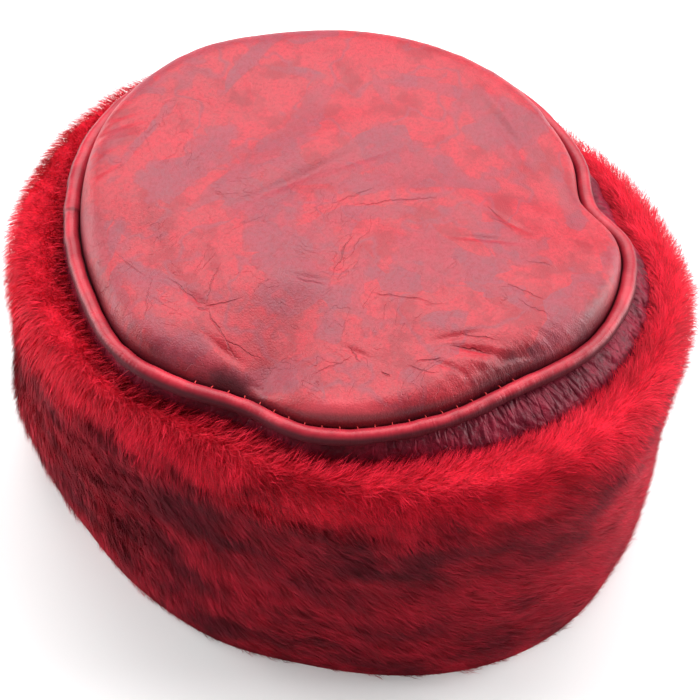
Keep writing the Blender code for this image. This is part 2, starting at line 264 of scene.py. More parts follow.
# Hairline wrinkles in the crown's leather. The rise is how dark each is drawn, from 0 to 1.
HAIRLINES = table(
    MARK,
    (-65, 27, 80, 10, 0.35, 0.7),
    (-63, 14, 135, 7, 0.4, 0.8),
    (-72, 9, 62, 11, 0.4, 0.9),
    (-73, 0, 97, 9, 0.35, 0.8),
    (-58, 21, 15, 10, 0.3, 0.7),
    (-64, 50, 75, 10, 0.3, 0.5),
    (-73, 36, 30, 12, 0.3, 0.5),
    (-68, 18, 90, 2, 0.7, 1.0),
    (-41, -6, 100, 5, 0.45, 1.0),
    (-59, -34, 55, 3, 0.45, 1.0),
    (-60, -46, 80, 1.4, 0.45, 1.0),
    (-48, -55, 130, 5, 0.4, 0.9),
    (-52, -55, 105, 6, 0.3, 0.7),
    (-66, -30, 150, 8, 0.3, 0.5),
    (20, -47, 90, 5, 0.3, 1.0),
    (23, -43, 75, 5, 0.25, 0.7),
    (-36, -65, 115, 8, 0.6, 1.0),
    (-31, -64, 110, 6, 0.4, 0.8),
    (-5, -68, 95, 8, 0.3, 0.6),
    (-10, -74, 88, 8, 0.3, 0.6),
    (10, -66, 110, 6, 0.3, 0.6),
    (-25, -9, 12, 13, 0.3, 0.7),
    (-30, -35, 110, 12, 0.3, 0.6),
    (8, -12, 128, 18, 0.3, 0.6),
    (2, 2, 150, 10, 0.25, 0.5),
)

# Places where the crown's leather is darkened: partly burnished dark, partly painted shade in the dent and
# along the steep edge beside the seam. The rise is how dark each is, from 0 to 1.
BURNISH_AND_SHADE = table(
    MARK,
    (-86.2, -5, 93, 12.5, 7.8, 1.0),
    (-36, -78, 158, 20, 8.5, 0.75),
    (-56, -73, 125, 16, 3.5, 0.50),
    (-90.5, 26, 75, 15, 5, 0.45),
    (-75, 56, 48, 18, 5, 0.50),
    (2, -91, 5, 22, 5, 0.60),
    (-46, 81, 35, 16, 3, 0.35),
)

# Places where the crown's rounded edge is painted light: a painted sheen along its front edge. The rise is
# how light each is, from 0 to 1.
EDGE_SHEEN = table(
    MARK,
    (-78.5, -43.2, 118, 24, 5, 0.8),
)

# Painted light and painted shade of the fur's side, one row for each, placed like the swells: darker under
# the rim and in the fur's waves, lighter on the right and on the rim at the back left.
FUR_LIGHT_AND_SHADE = table(
    "angle width height_mm reach_mm tone",
    (-156, 26, 72, 16, -0.08),
    (-180, 16, 68, 14, -0.05),
    (-170, 12, 8, 12, -0.08),
    (-130, 11, 28, 12, -0.07),
    (-122, 10, 82, 9, -0.08),
    (-196, 14, 40, 18, -0.06),
    (-104, 14, 42, 36, 0.11),
    (-152, 24, 45, 9, 0.05),
    (-130, 9, 52, 12, 0.05),
    (-215, 16, 60, 20, 0.06),
    (-225, 30, 92, 18, 0.12),
)

# Crown mesh: columns round it, rings of its top face, how much finer these lie towards its edge, rings of
# its underside, and how far that stays above the turned-down edge.
CROWN_COLUMNS = 576
CROWN_RINGS = 144
CROWN_EDGE_FINENESS = 1.45
UNDER_SHARES = (0.985, 0.95, 0.9, 0.82, 0.7, 0.52, 0.32, 0.12)
UNDER_CLEAR = 0.001

# Crown maps: the breadth of the bake map, where the underside lies on it, and the reach of the seam's map.
CROWN_MAP_WIDTH = 0.29
UNDER_MAP_MIDDLE = 0.075
UNDER_MAP_SCALE = 0.6
SEAM_MAP_REACH = 0.03

# Where the bends of the seam begin, as a share of the radius, how far in from the edge the folds and the
# creases start, and the groove between the puffed edge and the piping.
STEADY_SHARE = 0.45
FOLD_EDGE = 0.12
FOLD_SHARE = 0.45
CREASE_EDGE = 0.004
GROOVE_DEPTH = 0.0026
GROOVE_WIDTH = 0.0011
LEAST_GROOVE = 0.2

# Lumps of the crown's padding.
NOISE_CELLS = 64
LUMP_SIZE = 0.026
LUMP_HEIGHT = 0.0005
SMALL_LUMP_SIZE = 0.011
SMALL_LUMP_HEIGHT = 0.00020

# Puckers beside the seam: how many of each set would fit round the hat, how far in they reach and their
# share of the height. The slant is in degrees for each metre in from the seam.
GATHERS = table(
    "count reach_mm share",
    (46, 11, 1.0),
    (110, 7.92, 0.7),
    (190, 4.84, 0.4),
)
GATHER_HEIGHT = 0.00055
GATHER_SLANT = 260
GATHER_LENGTH = 0.012
GATHER_START = 0.002
GATHER_PATCH = 0.02
GATHER_PATCHES = 30
GATHER_MEAN = 0.7
GATHER_SWING = 0.9

# The crown beside the seam, one row for each stretch: how strongly it is puckered, then shares of the
# usual for how far in its rounded edge reaches, how high it puffs up and how big its groove is.
PUCKERS = table(
    "angle strength tight puff groove",
    (-176, 0.4, 1.0, 1.0, 1.5),
    (-160, 0.2, 0.50, 0.82, 0.35),
    (-142, 0.3, 0.55, 0.80, 0.30),
    (-128, 0.8, 0.80, 0.92, 0.65),
    (-114, 1.2, 1.0, 1.0, 0.9),
    (-98, 1.0, 0.9, 1.0, 1.0),
    (-80, 0.6, 0.8, 1.0, 1.0),
    (-55, 0.9, 1.0, 1.0, 1.0),
    (-20, 0.6, 1.0, 1.0, 1.0),
    (30, 0.4, 1.0, 1.0, 1.0),
    (80, 0.4, 1.0, 1.0, 1.0),
    (112, 0.5, 1.0, 1.0, 1.0),
    (124, 0.5, 1.0, 1.0, 1.0),
    (145, 0.3, 0.9, 1.0, 1.0),
    (165, 0.3, 0.8, 1.0, 1.2),
    (177, 0.3, 0.9, 1.0, 1.5),
)

# Gathers of the strip: how many of each set would fit round the hat, how deep they are, and how often they
# change on the way down. Their depth varies from place to place, and is less where the strip is narrow.
STRIP_GATHERS = table(
    "count depth_mm along",
    (74, 0.42, 1.5),
    (160, 0.36, 2.5),
    (300, 0.28, 4.0),
)
STRIP_SKEW = 9.0
STRIP_SINK = 0.0006
STRIP_SINK_SHARE = 0.35
STRIP_MEAN = 0.75
STRIP_SWING = 0.9
STRIP_WIDTH = 0.010
LEAST_WIDTH = 0.35
MOST_WIDTH = 1.2
STRIP_SQUARENESS = 0.6
STRIP_TOP_DEPTH = 1.25
STRIP_FOOT_DEPTH = 0.65
STRIP_END = 0.97
STRIP_ROWS = 24
WALL_COLUMNS = 1080
WALL_HEIGHTS = (0.094, 0.086, 0.070, 0.050, 0.030, 0.014, 0.004)
INNER_WALL_HEIGHTS = (0.004, 0.014, 0.030, 0.050, 0.070, 0.086, 0.096)
INNER_STRIP_SHARES = (0.8, 0.45, 0.1)
INNER_STRIP_SHIFT = 0.8 * LEATHER

# Piping mesh, its wobbles, and the lap where the two ends of its leather meet. A row of wobbles is one layer
# of noise: its height, its cells round the hat and up it, and its seed. Other tables of noise are alike.
CAD_COLUMNS = 64
CORD_COLUMNS = 720
CORD_SIDES = 14
SEAM_RADIUS = 0.095
LAP_ANGLE = 119.5
LAP_LENGTH = 0.0016
LAP_HEIGHT = 0.00035
LAP_EDGE = 0.0004
LAP_REACH = 34.0
LAP_FADE = 20.0
LAP_SWELL = 0.00035
CORD_WOBBLES = table("height_mm count up seed", (0.19, 150, 3, 51), (0.19, 60, 2, 52))

# Stitches along the seam. They are spaced out along the line, which is in and up from the piping's middle.
STITCH_SPACING = 0.0054
STITCH_LENGTH = 0.0017
STITCH_THICKNESS = 0.00040
STITCH_ARCH = 0.00045
STITCH_SLANTS = (-0.5, 0.1)
STITCH_SEED = 91
STITCH_IN = 0.0020
STITCH_UP = 0.0018
STITCH_LINE = (0.0019, 0.00185)
STITCH_STEPS = 7
STITCH_SIDES = 6
STITCH_SPAN = (-186.0, -112.0)
UPRIGHT = np.array((0.0, 0.0, 1.0))

# Undercoat mesh: the skin that the hair grows from. SIDE_SHARE of its rows lie on the side.
SKIN_COLUMNS = 360
SKIN_ROWS = 64
SKIN_OUT = 0.0004
SKIN_LUMPS = table("height_mm count up seed", (1.0, 190, 30, 71), (0.6, 90, 14, 72))
SIDE_SHARE = 0.74
HEM_SHARE = 0.05
HEM_FADE = 0.04
LIP_FADE = 0.05
HIDE_HEIGHTS = (0.092, 0.062, 0.032, 0.0005)
SMALL_ANGLE = 0.4
SMALL_SHARE = 0.006

# Hair: how many roots lie round the hat and up the band, and the size of one hair. Lengths are shares of
# the usual one, and each of the ranges is what chance picks from.
HAIR_COLUMNS = 1240
HAIR_ROWS = 176
HAIR_PIECES = 4
HAIR_WIDTH = 0.00016
HAIR_LENGTH = 0.0080
LIP_HAIR = 0.0056
LENGTHS = (0.75, 1.15)
TUFT_LENGTHS = (0.74, 1.26)
TUFT_MIDDLE_LENGTHS = (0.9, 1.1)
LONG_HAIR = 1.35
LONG_HAIR_CHANCE = 0.985
BEND_SHARE = 0.45
HEM_RAGGED_SHARE = 0.07
HEM_LENGTHS = (0.35, 0.85)
HEM_TUFTS = 110
ROOT_SINK = 0.0006
HAIR_FLOOR = 0.0004

# How the hair lies: how upright it stands, how far its lie is turned up in radians, and how it curls and
# gathers in tufts. The rim's lie turns from its first value to its second on the way over.
SIDE_STAND = 0.42
RIM_STAND = 1.02
STAND_CHANGES = table("height count up seed", (0.14, 80, 20, 83))
RISE_MORE = 0.35
FALL_LESS = 0.12
SIDE_LIE = -0.18
RIM_LIES = (-0.4, 1.2)
LIE_SWAYS = table("height count up seed", (0.55, 18, 5, 81), (0.35, 60, 16, 82))
RIM_SWAY = 1.2
LEANS = (0.55, 1.5)
TUFT_LEANS = (0.8, 1.2)
TUFT_TURNS = (-0.25, 0.25)
TUFT_COLUMNS = 360
TUFT_ROWS = 56
TUFT_PULL = 0.42
PULLS = (0.5, 1.3)
BEND_PULL = 0.35
HAIR_TURN = 0.46
HAIR_CURL = 0.13
HAIR_SEED = 11

# A hair's shading: how much its facing and its normal vary, and how much of its tone is its tuft's.
FACING_CHANCE = 0.45
NORMAL_OUT = 0.62
NORMAL_ACROSS = 0.5
NORMAL_CHANCE = 0.16
TUFT_TONE = 0.62

# The hair's bake map: its size, the size of one hair's cell, and where the hair's corners lie across it.
HAIR_MAP_PIXELS = 1024
HAIR_CELL = 4
HAIR_CELL_ACROSS = (0.6, 3.4, 3.2, 0.8, 2.0)

# Colours of the crown's leather.
CROWN_RED = (0.40, 0.014, 0.027)
CROWN_BRIGHT_RED = (0.47, 0.019, 0.035)
CROWN_GREY = (0.25, 0.028, 0.048)
CROWN_PALE_GREY = (0.31, 0.034, 0.057)
CROWN_DEEP_RED = (0.27, 0.006, 0.017)
# Painted highlight: the painted sheen on the crown's front edge.
CROWN_SHEEN_RED = (0.72, 0.070, 0.095)
CROWN_CRACK = (0.12, 0.006, 0.014)
# Burnished dark leather, partly painted shade in the dent and beside the seam.
CROWN_BURNISH_AND_SHADE = (0.065, 0.002, 0.009)
# Painted shade in the groove beside the seam.
CROWN_GROOVE_SHADE = (0.06, 0.003, 0.010)

# Colours of the piping, the strip, the fur, the thread and the floor.
PIPING_DARK = (0.36, 0.018, 0.034)
PIPING_LIGHT = (0.56, 0.030, 0.052)
# Painted shade on the cord's sides and underside.
PIPING_SHADE = (0.075, 0.002, 0.010)
PIPING_LAP = (0.07, 0.003, 0.008)
STRIP_DARK = (0.13, 0.004, 0.018)
STRIP_LIGHT = (0.27, 0.009, 0.034)
# Painted shade in the crevices of the strip's wrinkles.
STRIP_CREVICE_SHADE = (0.0585, 0.0018, 0.0081)
FUR_DARK = (0.17, 0.004, 0.016)
FUR_RED = (0.58, 0.011, 0.034)
# The rim's colours are painted brighter than the side's: painted light on the top of the roll, where the
# light from above falls.
RIM_LIT_RED = (0.74, 0.007, 0.029)
RIM_LIT_VIVID = (0.92, 0.016, 0.048)
HAIR_DULL = (0.52, 0.42, 0.42)
HAIR_VIVID = (1.16, 1.30, 1.30)
# Painted shade at the hairs' roots.
HAIR_ROOT_SHADE = (0.86, 0.60, 0.60)
HAIR_SHEEN = (1.0, 0.16, 0.20, 1.0)
WOOL_DARK = (0.74, 0.55, 0.55)
WOOL_LIGHT = (1.0, 0.9, 0.9)
THREAD_DARK = (0.42, 0.008, 0.012)
THREAD_LIGHT = (0.85, 0.05, 0.05)
FLOOR_GREY = (0.78, 0.78, 0.78)
FLOOR_PALE = (0.80, 0.80, 0.80)
WHITE = (1.0, 1.0, 1.0)

# Noise in the crown's leather, each with its size, its layers and how strong the finer ones are.
PATCH_DRIFT = (0.030, 3.0, 0.6)
PATCH_RAG = (0.0055, 5.0, 0.62)
PATCH_FACET = (0.015, 2.0, 0.5)
DEEP_PATCH = (0.013, 4.0, 0.6)
WORN_PATCH = (0.022, 2.0)
FINE_GRAIN = (0.004, 4.0, 0.6)
PORES = (0.0011, 2.0)
PATCH_CELL = 0.019
VEIN_SIZE = 0.034
GRAIN_CELL = 0.0010
GRAIN_DEPTH = 0.00004

# What the crown's patches are made of, and the level at which they turn from red to grey.
STAIN_SHARE = 0.40
CELL_SHARE = 0.34
DRIFT_SHARE = 0.7
RAG_SHARE = 0.38
PATCH_LEVEL = 0.765

# The floor, and soft boxes, one row for each: its direction, its distance, its size and its watts.
FLOOR_HALF = 6.0
FLOOR_GLOW = 0.25
AMBIENT = 0.10
LIT_MIDDLE = (0.0, 0.0, 0.07)
LIGHTS = table(
    "name angle elevation distance width height power colour",
    ("back_box", 26.2, 60, 1.5, 1.8, 1.5, 38, (1.0, 0.985, 0.99)),
    ("left_box", 106, 22, 1.4, 0.9, 1.2, 19, WHITE),
    ("right_box", -48, 22, 1.4, 0.9, 1.2, 24, WHITE),
    ("front_box", -152, 30, 2.2, 1.6, 0.7, 4, WHITE),
)

# The photograph's camera, solved with the CAD's size: what it aims at, from where, and its lens.
CAMERA_TARGET = (0.00228, -0.00187, 0.0486)
CAMERA_DISTANCE = 0.720
CAMERA_ANGLE = -153.8
CAMERA_ELEVATION = 48.0
CAMERA_ROLL = 5.0
CAMERA_LENS = 99.36
CAMERA_SENSOR = 36.0


def direction(angle):
    """The level unit vectors that point out at angles."""
    turn = np.radians(angle)
    return np.stack((np.cos(turn), np.sin(turn), np.zeros_like(turn)), -1)


def place_at(angle, out, height):
    """Points at angles round the hat, this far out from its middle and this high."""
    angle, out, height = np.broadcast_arrays(np.asarray(angle, float), out, height)
    spot = direction(angle) * out[..., None]
    spot[..., 2] = height
    return spot


def angles_round(count):
    return np.arange(count) * 360 / count


def angle_of(points):
    return np.degrees(np.arctan2(points[..., 1], points[..., 0]))


def out_of(points):
    return np.hypot(points[..., 0], points[..., 1])


def oval(half, angle):
    """How far out an oval with these half sizes lies at angles."""
    out = direction(angle)
    across = np.abs(out[..., 0] / half[0]) ** OVAL_POWER
    along = np.abs(out[..., 1] / half[1]) ** OVAL_POWER
    return (across + along) ** (-1 / OVAL_POWER)


def blend(start, end, share):
    return start + (end - start) * share


def ease(share):
    """A smooth step from 0 to 1."""
    share = np.clip(share, 0.0, 1.0)
    return share * share * (3 - 2 * share)


def unit(vectors):
    return vectors / np.maximum(np.linalg.norm(vectors, axis=-1, keepdims=True), 1e-12)


def round_hat(rows, column, angle):
    """A column of a table at angles, on a smooth closed curve through its rows."""
    stops = np.array([row.angle for row in rows], float)
    values = np.array([getattr(row, column) for row in rows], float)
    count = len(rows)
    turned = (np.asarray(angle, float) - stops[0]) % 360 + stops[0]
    at = np.searchsorted(stops, turned + 1e-9, side="right") - 1

    def stop(index):
        return stops[index % count] + 360 * (index // count)

    def value(index):
        return values[index % count]

    span = stop(at + 1) - stop(at)
    slope_in = (value(at + 1) - value(at - 1)) / (stop(at + 1) - stop(at - 1)) * span
    slope_out = (value(at + 2) - value(at)) / (stop(at + 2) - stop(at)) * span
    share = (turned - stop(at)) / span
    square, cube = share**2, share**3
    return (
        (2 * cube - 3 * square + 1) * value(at)
        + (cube - 2 * square + share) * slope_in
        + (3 * square - 2 * cube) * value(at + 1)
        + (cube - square) * slope_out
    )


def edge(column, angle):
    return round_hat(EDGE, column, angle)


def edge_mean(column):
    return sum(getattr(row, column) for row in EDGE) / len(EDGE)


def soft_noise(across, up, seed, wrap=NOISE_CELLS):
    """Smooth noise from -1 to 1 in cells one unit wide. Across, it repeats every wrap cells."""
    lattice = np.random.default_rng(seed).uniform(-1, 1, (NOISE_CELLS, wrap))
    column, row = np.floor(across).astype(int), np.floor(up).astype(int)
    share_across, share_up = ease(across - column), ease(up - row)

    def corner(right, above):
        return lattice[(row + above) % NOISE_CELLS, (column + right) % wrap]

    low = blend(corner(0, 0), corner(1, 0), share_across)
    high = blend(corner(0, 1), corner(1, 1), share_across)
    return blend(low, high, share_up)


def flat_noise(x, y, size, seed):
    """Smooth noise over the crown, in cells of a size."""
    return soft_noise(x / size + 20, y / size + 20, seed)


def ring_noise(angle, up, count, seed):
    """Smooth noise with count cells round the hat."""
    return soft_noise((np.asarray(angle, float) % 360) / 360 * count, up, seed, count)


def noise_layers(rows, angle, up):
    """The sum of the layers of noise in a table."""
    return sum(row.height * ring_noise(angle, up * row.up, row.count, row.seed) for row in rows)


def ridge(noise_value):
    """Turns smooth noise into noise with sharp crests."""
    return 0.6 - 2 * np.abs(noise_value)


def spread_rows(rows, column, angle, height):
    """The sum of a column at places on the fur's side, each row fading out round its own place."""
    total = 0.0
    for row in rows:
        around = ((angle - row.angle + 180) % 360 - 180) / row.width
        up = (height - row.height) / row.reach
        total = total + getattr(row, column) * np.exp(-(around**2) - up**2)
    return total


def from_mark(row, x, y):
    """How far places are from a row's middle, squared, in its half lengths and half widths."""
    turn = math.radians(row.turn)
    along = ((x - row.x) * math.cos(turn) + (y - row.y) * math.sin(turn)) / row.length
    across = ((y - row.y) * math.cos(turn) - (x - row.x) * math.sin(turn)) / row.width
    return along**2 + across**2


def crease_rise(rows, x, y):
    return sum(row.rise * np.exp(-from_mark(row, x, y)) for row in rows)


def stain_tone(x, y):
    """How grey, or if below zero how red, the crown's leather is stained at a place."""
    return sum(row.tone * np.exp(-(from_mark(row, x, y) ** 1.5)) for row in STAINS)


def wall_out(angle, height):
    """The outer face of the leather wall: the head's oval at the base, and the fur's lip at the top."""
    base = oval(HEAD_HALF, angle) + LEATHER
    top = edge("lip", angle) - GAP
    return blend(base, top, ease(height / LIP_HEIGHT))


def seam_height(angle):
    return PIPING_HEIGHT + edge("lift", angle)


def frame_shift():
    """How far the CAD moved its pieces from the tables' axis, read from where its piping lies."""
    angle = angles_round(CAD_COLUMNS)
    spots = place_at(angle, edge("piping", angle), seam_height(angle))
    worked_out = (spots.min(0) + spots.max(0)) / 2
    low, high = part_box("piping")
    return np.array([(low[axis] + high[axis]) / 2 - worked_out[axis] for axis in (0, 1)] + [0.0])


def grid_faces(rows, columns):
    """The corners of the quads of a grid that closes round the hat."""
    row, column = np.meshgrid(np.arange(rows - 1), np.arange(columns), indexing="ij")
    low, high = row * columns, (row + 1) * columns
    right = (column + 1) % columns
    return np.stack((low + column, low + right, high + right, high + column), -1).reshape(-1, 4)


def mesh_object(name, points, faces, material):
    """An object from points and faces, all with the same number of corners."""
    points = np.ascontiguousarray(points, dtype=np.float32)
    faces = np.ascontiguousarray(faces, dtype=np.int32)
    corners = faces.shape[1]
    mesh = bpy.data.meshes.new(name)
    mesh.vertices.add(len(points))
    mesh.vertices.foreach_set("co", points.ravel())
    mesh.loops.add(faces.size)
    mesh.loops.foreach_set("vertex_index", faces.ravel())
    mesh.polygons.add(len(faces))
    mesh.polygons.foreach_set("loop_start", np.arange(0, faces.size, corners, dtype=np.int32))
    mesh.update(calc_edges=True)
    mesh.shade_smooth()
    mesh.materials.append(material)
    made = bpy.data.objects.new(name, mesh)
    bpy.context.scene.collection.objects.link(made)
    return made


def add_map(made, name, corner_spots):
    """A UV map from one pair of numbers for each face corner."""
    layer = made.data.uv_layers.new(name=name)
    layer.uv.foreach_set("vector", np.ascontiguousarray(corner_spots, dtype=np.float32).ravel())


def closed_piece(name, grid, up, map_name, material, shift, order=1):
    """An object from a grid that closes round the hat and ends in its first row again, and its faces.

    Its map has the angle across, and up for each row. An order of -1 turns the faces over."""
    rows, columns = grid.shape[:2]
    faces = grid_faces(rows, columns)[:, ::order]
    row, column = faces // columns, faces % columns
    wraps = (column.max(1) - column.min(1)) > 1
    across = column / columns + ((column == 0) & wraps[:, None])
    faces = np.where(row == rows - 1, column, faces)
    made = mesh_object(name, grid[:-1].reshape(-1, 3) + shift, faces, material)
    add_map(made, map_name, np.stack((across, up[row]), -1))
    return made, faces


def rolled_out(grid):
    """How far each row of a grid lies along it, as a share of the whole way."""
    length = np.linalg.norm(np.diff(grid, axis=0), axis=-1).mean(1)
    up = np.concatenate(([0.0], np.cumsum(length)))
    return up / up[-1]


def crown_gathers(angle, inset):
    """The puckers that run in from the seam. Inset is the distance from it."""
    slanted = angle + inset * GATHER_SLANT
    rise = 0.0
    for step, row in enumerate(GATHERS):
        here = ridge(ring_noise(slanted, inset / GATHER_LENGTH, row.count, seed=31 + step))
        rise = rise + here * np.exp(-inset / row.reach) * row.share
    strength = round_hat(PUCKERS, "strength", angle)
    patchy = ring_noise(slanted, inset / GATHER_PATCH, GATHER_PATCHES, seed=37)
    patchy = GATHER_MEAN + GATHER_SWING * patchy
    return GATHER_HEIGHT * rise * strength * patchy * ease(inset / GATHER_START)


def crown_edge(angle, share, steady):
    """How high the padding puffs the crown up. The bends of the seam fade out where it is steady."""
    puff, slope = (blend(edge(column, angle), edge_mean(column), steady) for column in ("puff", "slope"))
    slope = slope * round_hat(PUCKERS, "tight", angle)
    puff = puff * blend(round_hat(PUCKERS, "puff", angle), 1.0, steady)
    flat = np.maximum(0.0, 1 - (1 - share) / slope)
    return puff * (1 - flat**CROWN_SQUARENESS) ** (1 / CROWN_SQUARENESS)


def crown_point(angle, share):
    """Points of the crown's top face, share of the way from its middle to its edge."""
    steady = 1 - ease(share / STEADY_SHARE - 1)
    inside = ease((1 - share) / FOLD_EDGE)
    out = edge("piping", angle) - CORD_DIAMETER / 2 - GAP
    inset = out * (1 - share)
    point = place_at(angle, out * share, 0.0)
    x, y = point[..., 0], point[..., 1]
    height = PIPING_HEIGHT + blend(edge("lift", angle), edge_mean("lift"), steady) + CROWN_THICKNESS / 2
    height = height + crown_edge(angle, share, steady) + CROWN_RISE * (1 - share**2)
    height = height + FOLD_SHARE * crease_rise(FOLDS, x, y) * inside
    height = height + crease_rise(CREASES, x, y) * ease(inset / CREASE_EDGE)
    height = height + LUMP_HEIGHT * flat_noise(x, y, LUMP_SIZE, seed=41) * inside
    height = height + SMALL_LUMP_HEIGHT * flat_noise(x, y, SMALL_LUMP_SIZE, seed=43) * inside
    groove = np.maximum(round_hat(PUCKERS, "groove", angle), LEAST_GROOVE)
    height = height - GROOVE_DEPTH * groove * np.exp(-inset / (GROOVE_WIDTH * groove**2))
    point[..., 2] = height + crown_gathers(angle, inset)
    return point


def crown_under(angle, out, floor):
    """The crown's plain underside, kept inside the edge that turns down and above a floor there."""
    under = crown_point(angle[None, :], np.array(UNDER_SHARES)[:, None])
    under[..., 2] -= CROWN_THICKNESS
    edge_height = np.maximum(under[:2, :, 2], floor + UNDER_CLEAR)
    under[:2] = place_at(angle, np.minimum(out_of(under[:2]), out - CROWN_THICKNESS), edge_height)
    return under


def crown_faces(rows):
    """The triangles of the crown's grid and of the fans that close its two middles."""
    column = np.arange(CROWN_COLUMNS)
    right = (column + 1) % CROWN_COLUMNS
    last = (rows - 1) * CROWN_COLUMNS
    top_middle = np.full_like(column, rows * CROWN_COLUMNS)
    quads = grid_faces(rows, CROWN_COLUMNS)
    triangles = np.concatenate((quads[:, [0, 1, 2]], quads[:, [0, 2, 3]]))[:, ::-1]
    top_fan = np.stack((column, right, top_middle), -1)
    under_fan = np.stack((last + right, last + column, top_middle + 1), -1)
    return np.concatenate((triangles, top_fan, under_fan))


def build_crown(material, shift):
    """The puffed top panel with its padding, creases and puckers, and its plain underside."""
    angle = angles_round(CROWN_COLUMNS)
    step = (np.arange(CROWN_RINGS) + 0.5) / (CROWN_RINGS - 0.5)
    share = 1 - (1 - step) ** CROWN_EDGE_FINENESS
    top = crown_point(angle[None, :], share[:, None])
    out = edge("piping", angle) - CORD_DIAMETER / 2 - 2 * GAP
    floor = seam_height(angle) - SEAM_ALLOWANCE
    turned_down = np.stack((place_at(angle, out, floor), place_at(angle, out - CROWN_THICKNESS, floor)))
    grid = np.concatenate((top, turned_down, crown_under(angle, out, floor)))
    middles = np.stack((top[0].mean(0), grid[-1].mean(0)))
    points = np.concatenate((grid.reshape(-1, 3), middles)) + shift
    triangles = crown_faces(len(grid))
    crown = mesh_object("crown_cover", points, triangles, material)
    add_map(crown, "OFBake", crown_bake_map(grid, points, triangles))
    add_map(crown, "seam", seam_map(triangles, angle, out, share, len(grid)))
    tone = stain_tone(points[:, 0], points[:, 1])
    gathers = round_hat(PUCKERS, "strength", angle_of(points))
    add_map(crown, "stain", np.stack((tone, gathers), -1)[triangles])
    return crown


def crown_bake_map(grid, points, triangles):
    """The top rolled out flat round its middle, and the underside as a small disc in the map's corner."""
    walked = np.cumsum(np.linalg.norm(np.diff(grid, axis=0, prepend=grid[:1]), axis=-1), axis=0)
    walked += out_of(grid[0])
    spread = direction(angle_of(grid))[..., :2] * walked[..., None]
    top = 0.5 + np.concatenate((spread.reshape(-1, 2), np.zeros((2, 2)))) / CROWN_MAP_WIDTH
    under = UNDER_MAP_MIDDLE + points[:, :2] * UNDER_MAP_SCALE
    below = (triangles >= (CROWN_RINGS + 2) * CROWN_COLUMNS).any(1)
    below &= ~(triangles == len(points) - 2).any(1)
    return np.where(below[:, None, None], under[triangles], top[triangles])


def seam_map(triangles, angle, out, share, rows):
    """Map places that run along the seam, slanted as its gathers are, and in from it as far as it reaches."""
    inset = np.zeros((rows, len(angle)))
    inset[: len(share)] = (1 - share)[:, None] * out
    slant = np.minimum(inset, SEAM_MAP_REACH) * GATHER_SLANT
    around = np.append(((angle + slant) / 360).ravel(), (0.5, 0.5))[triangles]
    around = around + ((around.max(1, keepdims=True) - around > 0.6) & (around < 0.1))
    inset = np.append(inset.ravel() / SEAM_MAP_REACH, (3.0, 3.0))
    return np.stack((around, inset[triangles]), -1)


def cord_radius(angle, around):
    """The piping's radius: it wobbles a little, and is thicker where two layers of leather lap."""
    from_lap = np.abs((angle - LAP_ANGLE + 180) % 360 - 180) * math.radians(1) * SEAM_RADIUS
    lap = LAP_HEIGHT * ease((LAP_LENGTH / 2 - from_lap) / LAP_EDGE + 0.5)
    beyond = LAP_ANGLE - angle
    swollen = LAP_SWELL * ease(beyond) * ease((LAP_REACH - beyond) / LAP_FADE)
    return CORD_DIAMETER / 2 + noise_layers(CORD_WOBBLES, angle, around) + lap + swollen


def build_piping(material, shift):
    """The leather-covered cord in the seam."""
    angle = angles_round(CORD_COLUMNS)
    middle = place_at(angle, edge("piping", angle), seam_height(angle))
    along = unit(np.roll(middle, -1, axis=0) - np.roll(middle, 1, axis=0))
    outward = unit(np.cross(along, UPRIGHT))
    upward = np.cross(outward, along)
    side = np.arange(CORD_SIDES + 1) / CORD_SIDES
    turn = 2 * math.pi * side
    radius = cord_radius(angle[None, :], side[:, None])
    radius[-1] = radius[0]
    ring = np.cos(turn)[:, None, None] * outward + np.sin(turn)[:, None, None] * upward
    points = middle + ring * radius[..., None]
    return closed_piece("seam_piping", points, side, "grain", material, shift)[0]


def strip_depth(angle, share):
    """How far the strip's gathers stand out."""
    depth = 0.0
    for step, row in enumerate(STRIP_GATHERS):
        skew = STRIP_SKEW * share * ring_noise(angle, 0.5 + 0 * share, 16, seed=65 + step)
        here = ridge(ring_noise(angle + skew, share * row.along, row.count, seed=61 + step))
        patchy = STRIP_MEAN + STRIP_SWING * ring_noise(angle + skew, share * 2, 40, seed=68 + step)
        depth = depth + row.depth * here * patchy
    width = (edge("lip", angle) - edge("piping", angle)) / STRIP_WIDTH
    depth = depth * np.clip(width, LEAST_WIDTH, MOST_WIDTH)
    across = np.sin(math.pi * np.clip(share, 0.02, 0.98)) ** STRIP_SQUARENESS
    return depth * across * blend(STRIP_TOP_DEPTH, STRIP_FOOT_DEPTH, share)


def strip_point(angle, share):
    """Points of the gathered strip that shows between the piping, at share 0, and the fur, at share 1."""
    angle, share = np.broadcast_arrays(angle, share)
    turn = share * math.pi / 2
    start = edge("piping", angle) - LEATHER / 2
    top = seam_height(angle) - CORD_DIAMETER / 2 - GAP
    out = blend(start, wall_out(angle, LIP_HEIGHT), np.sin(turn))
    point = place_at(angle, out, blend(LIP_HEIGHT, top, np.cos(turn)))
    outward = direction(angle) * np.sin(turn)[..., None]
    outward[..., 2] += np.cos(turn)
    depth = strip_depth(angle, share) - STRIP_SINK * ease(share / STRIP_SINK_SHARE)
    return point + unit(outward) * depth[..., None]


def wall_rings(angle, heights, inward):
    heights = np.array(heights)[:, None]
    return place_at(angle, wall_out(angle[None, :], heights) - inward, heights)


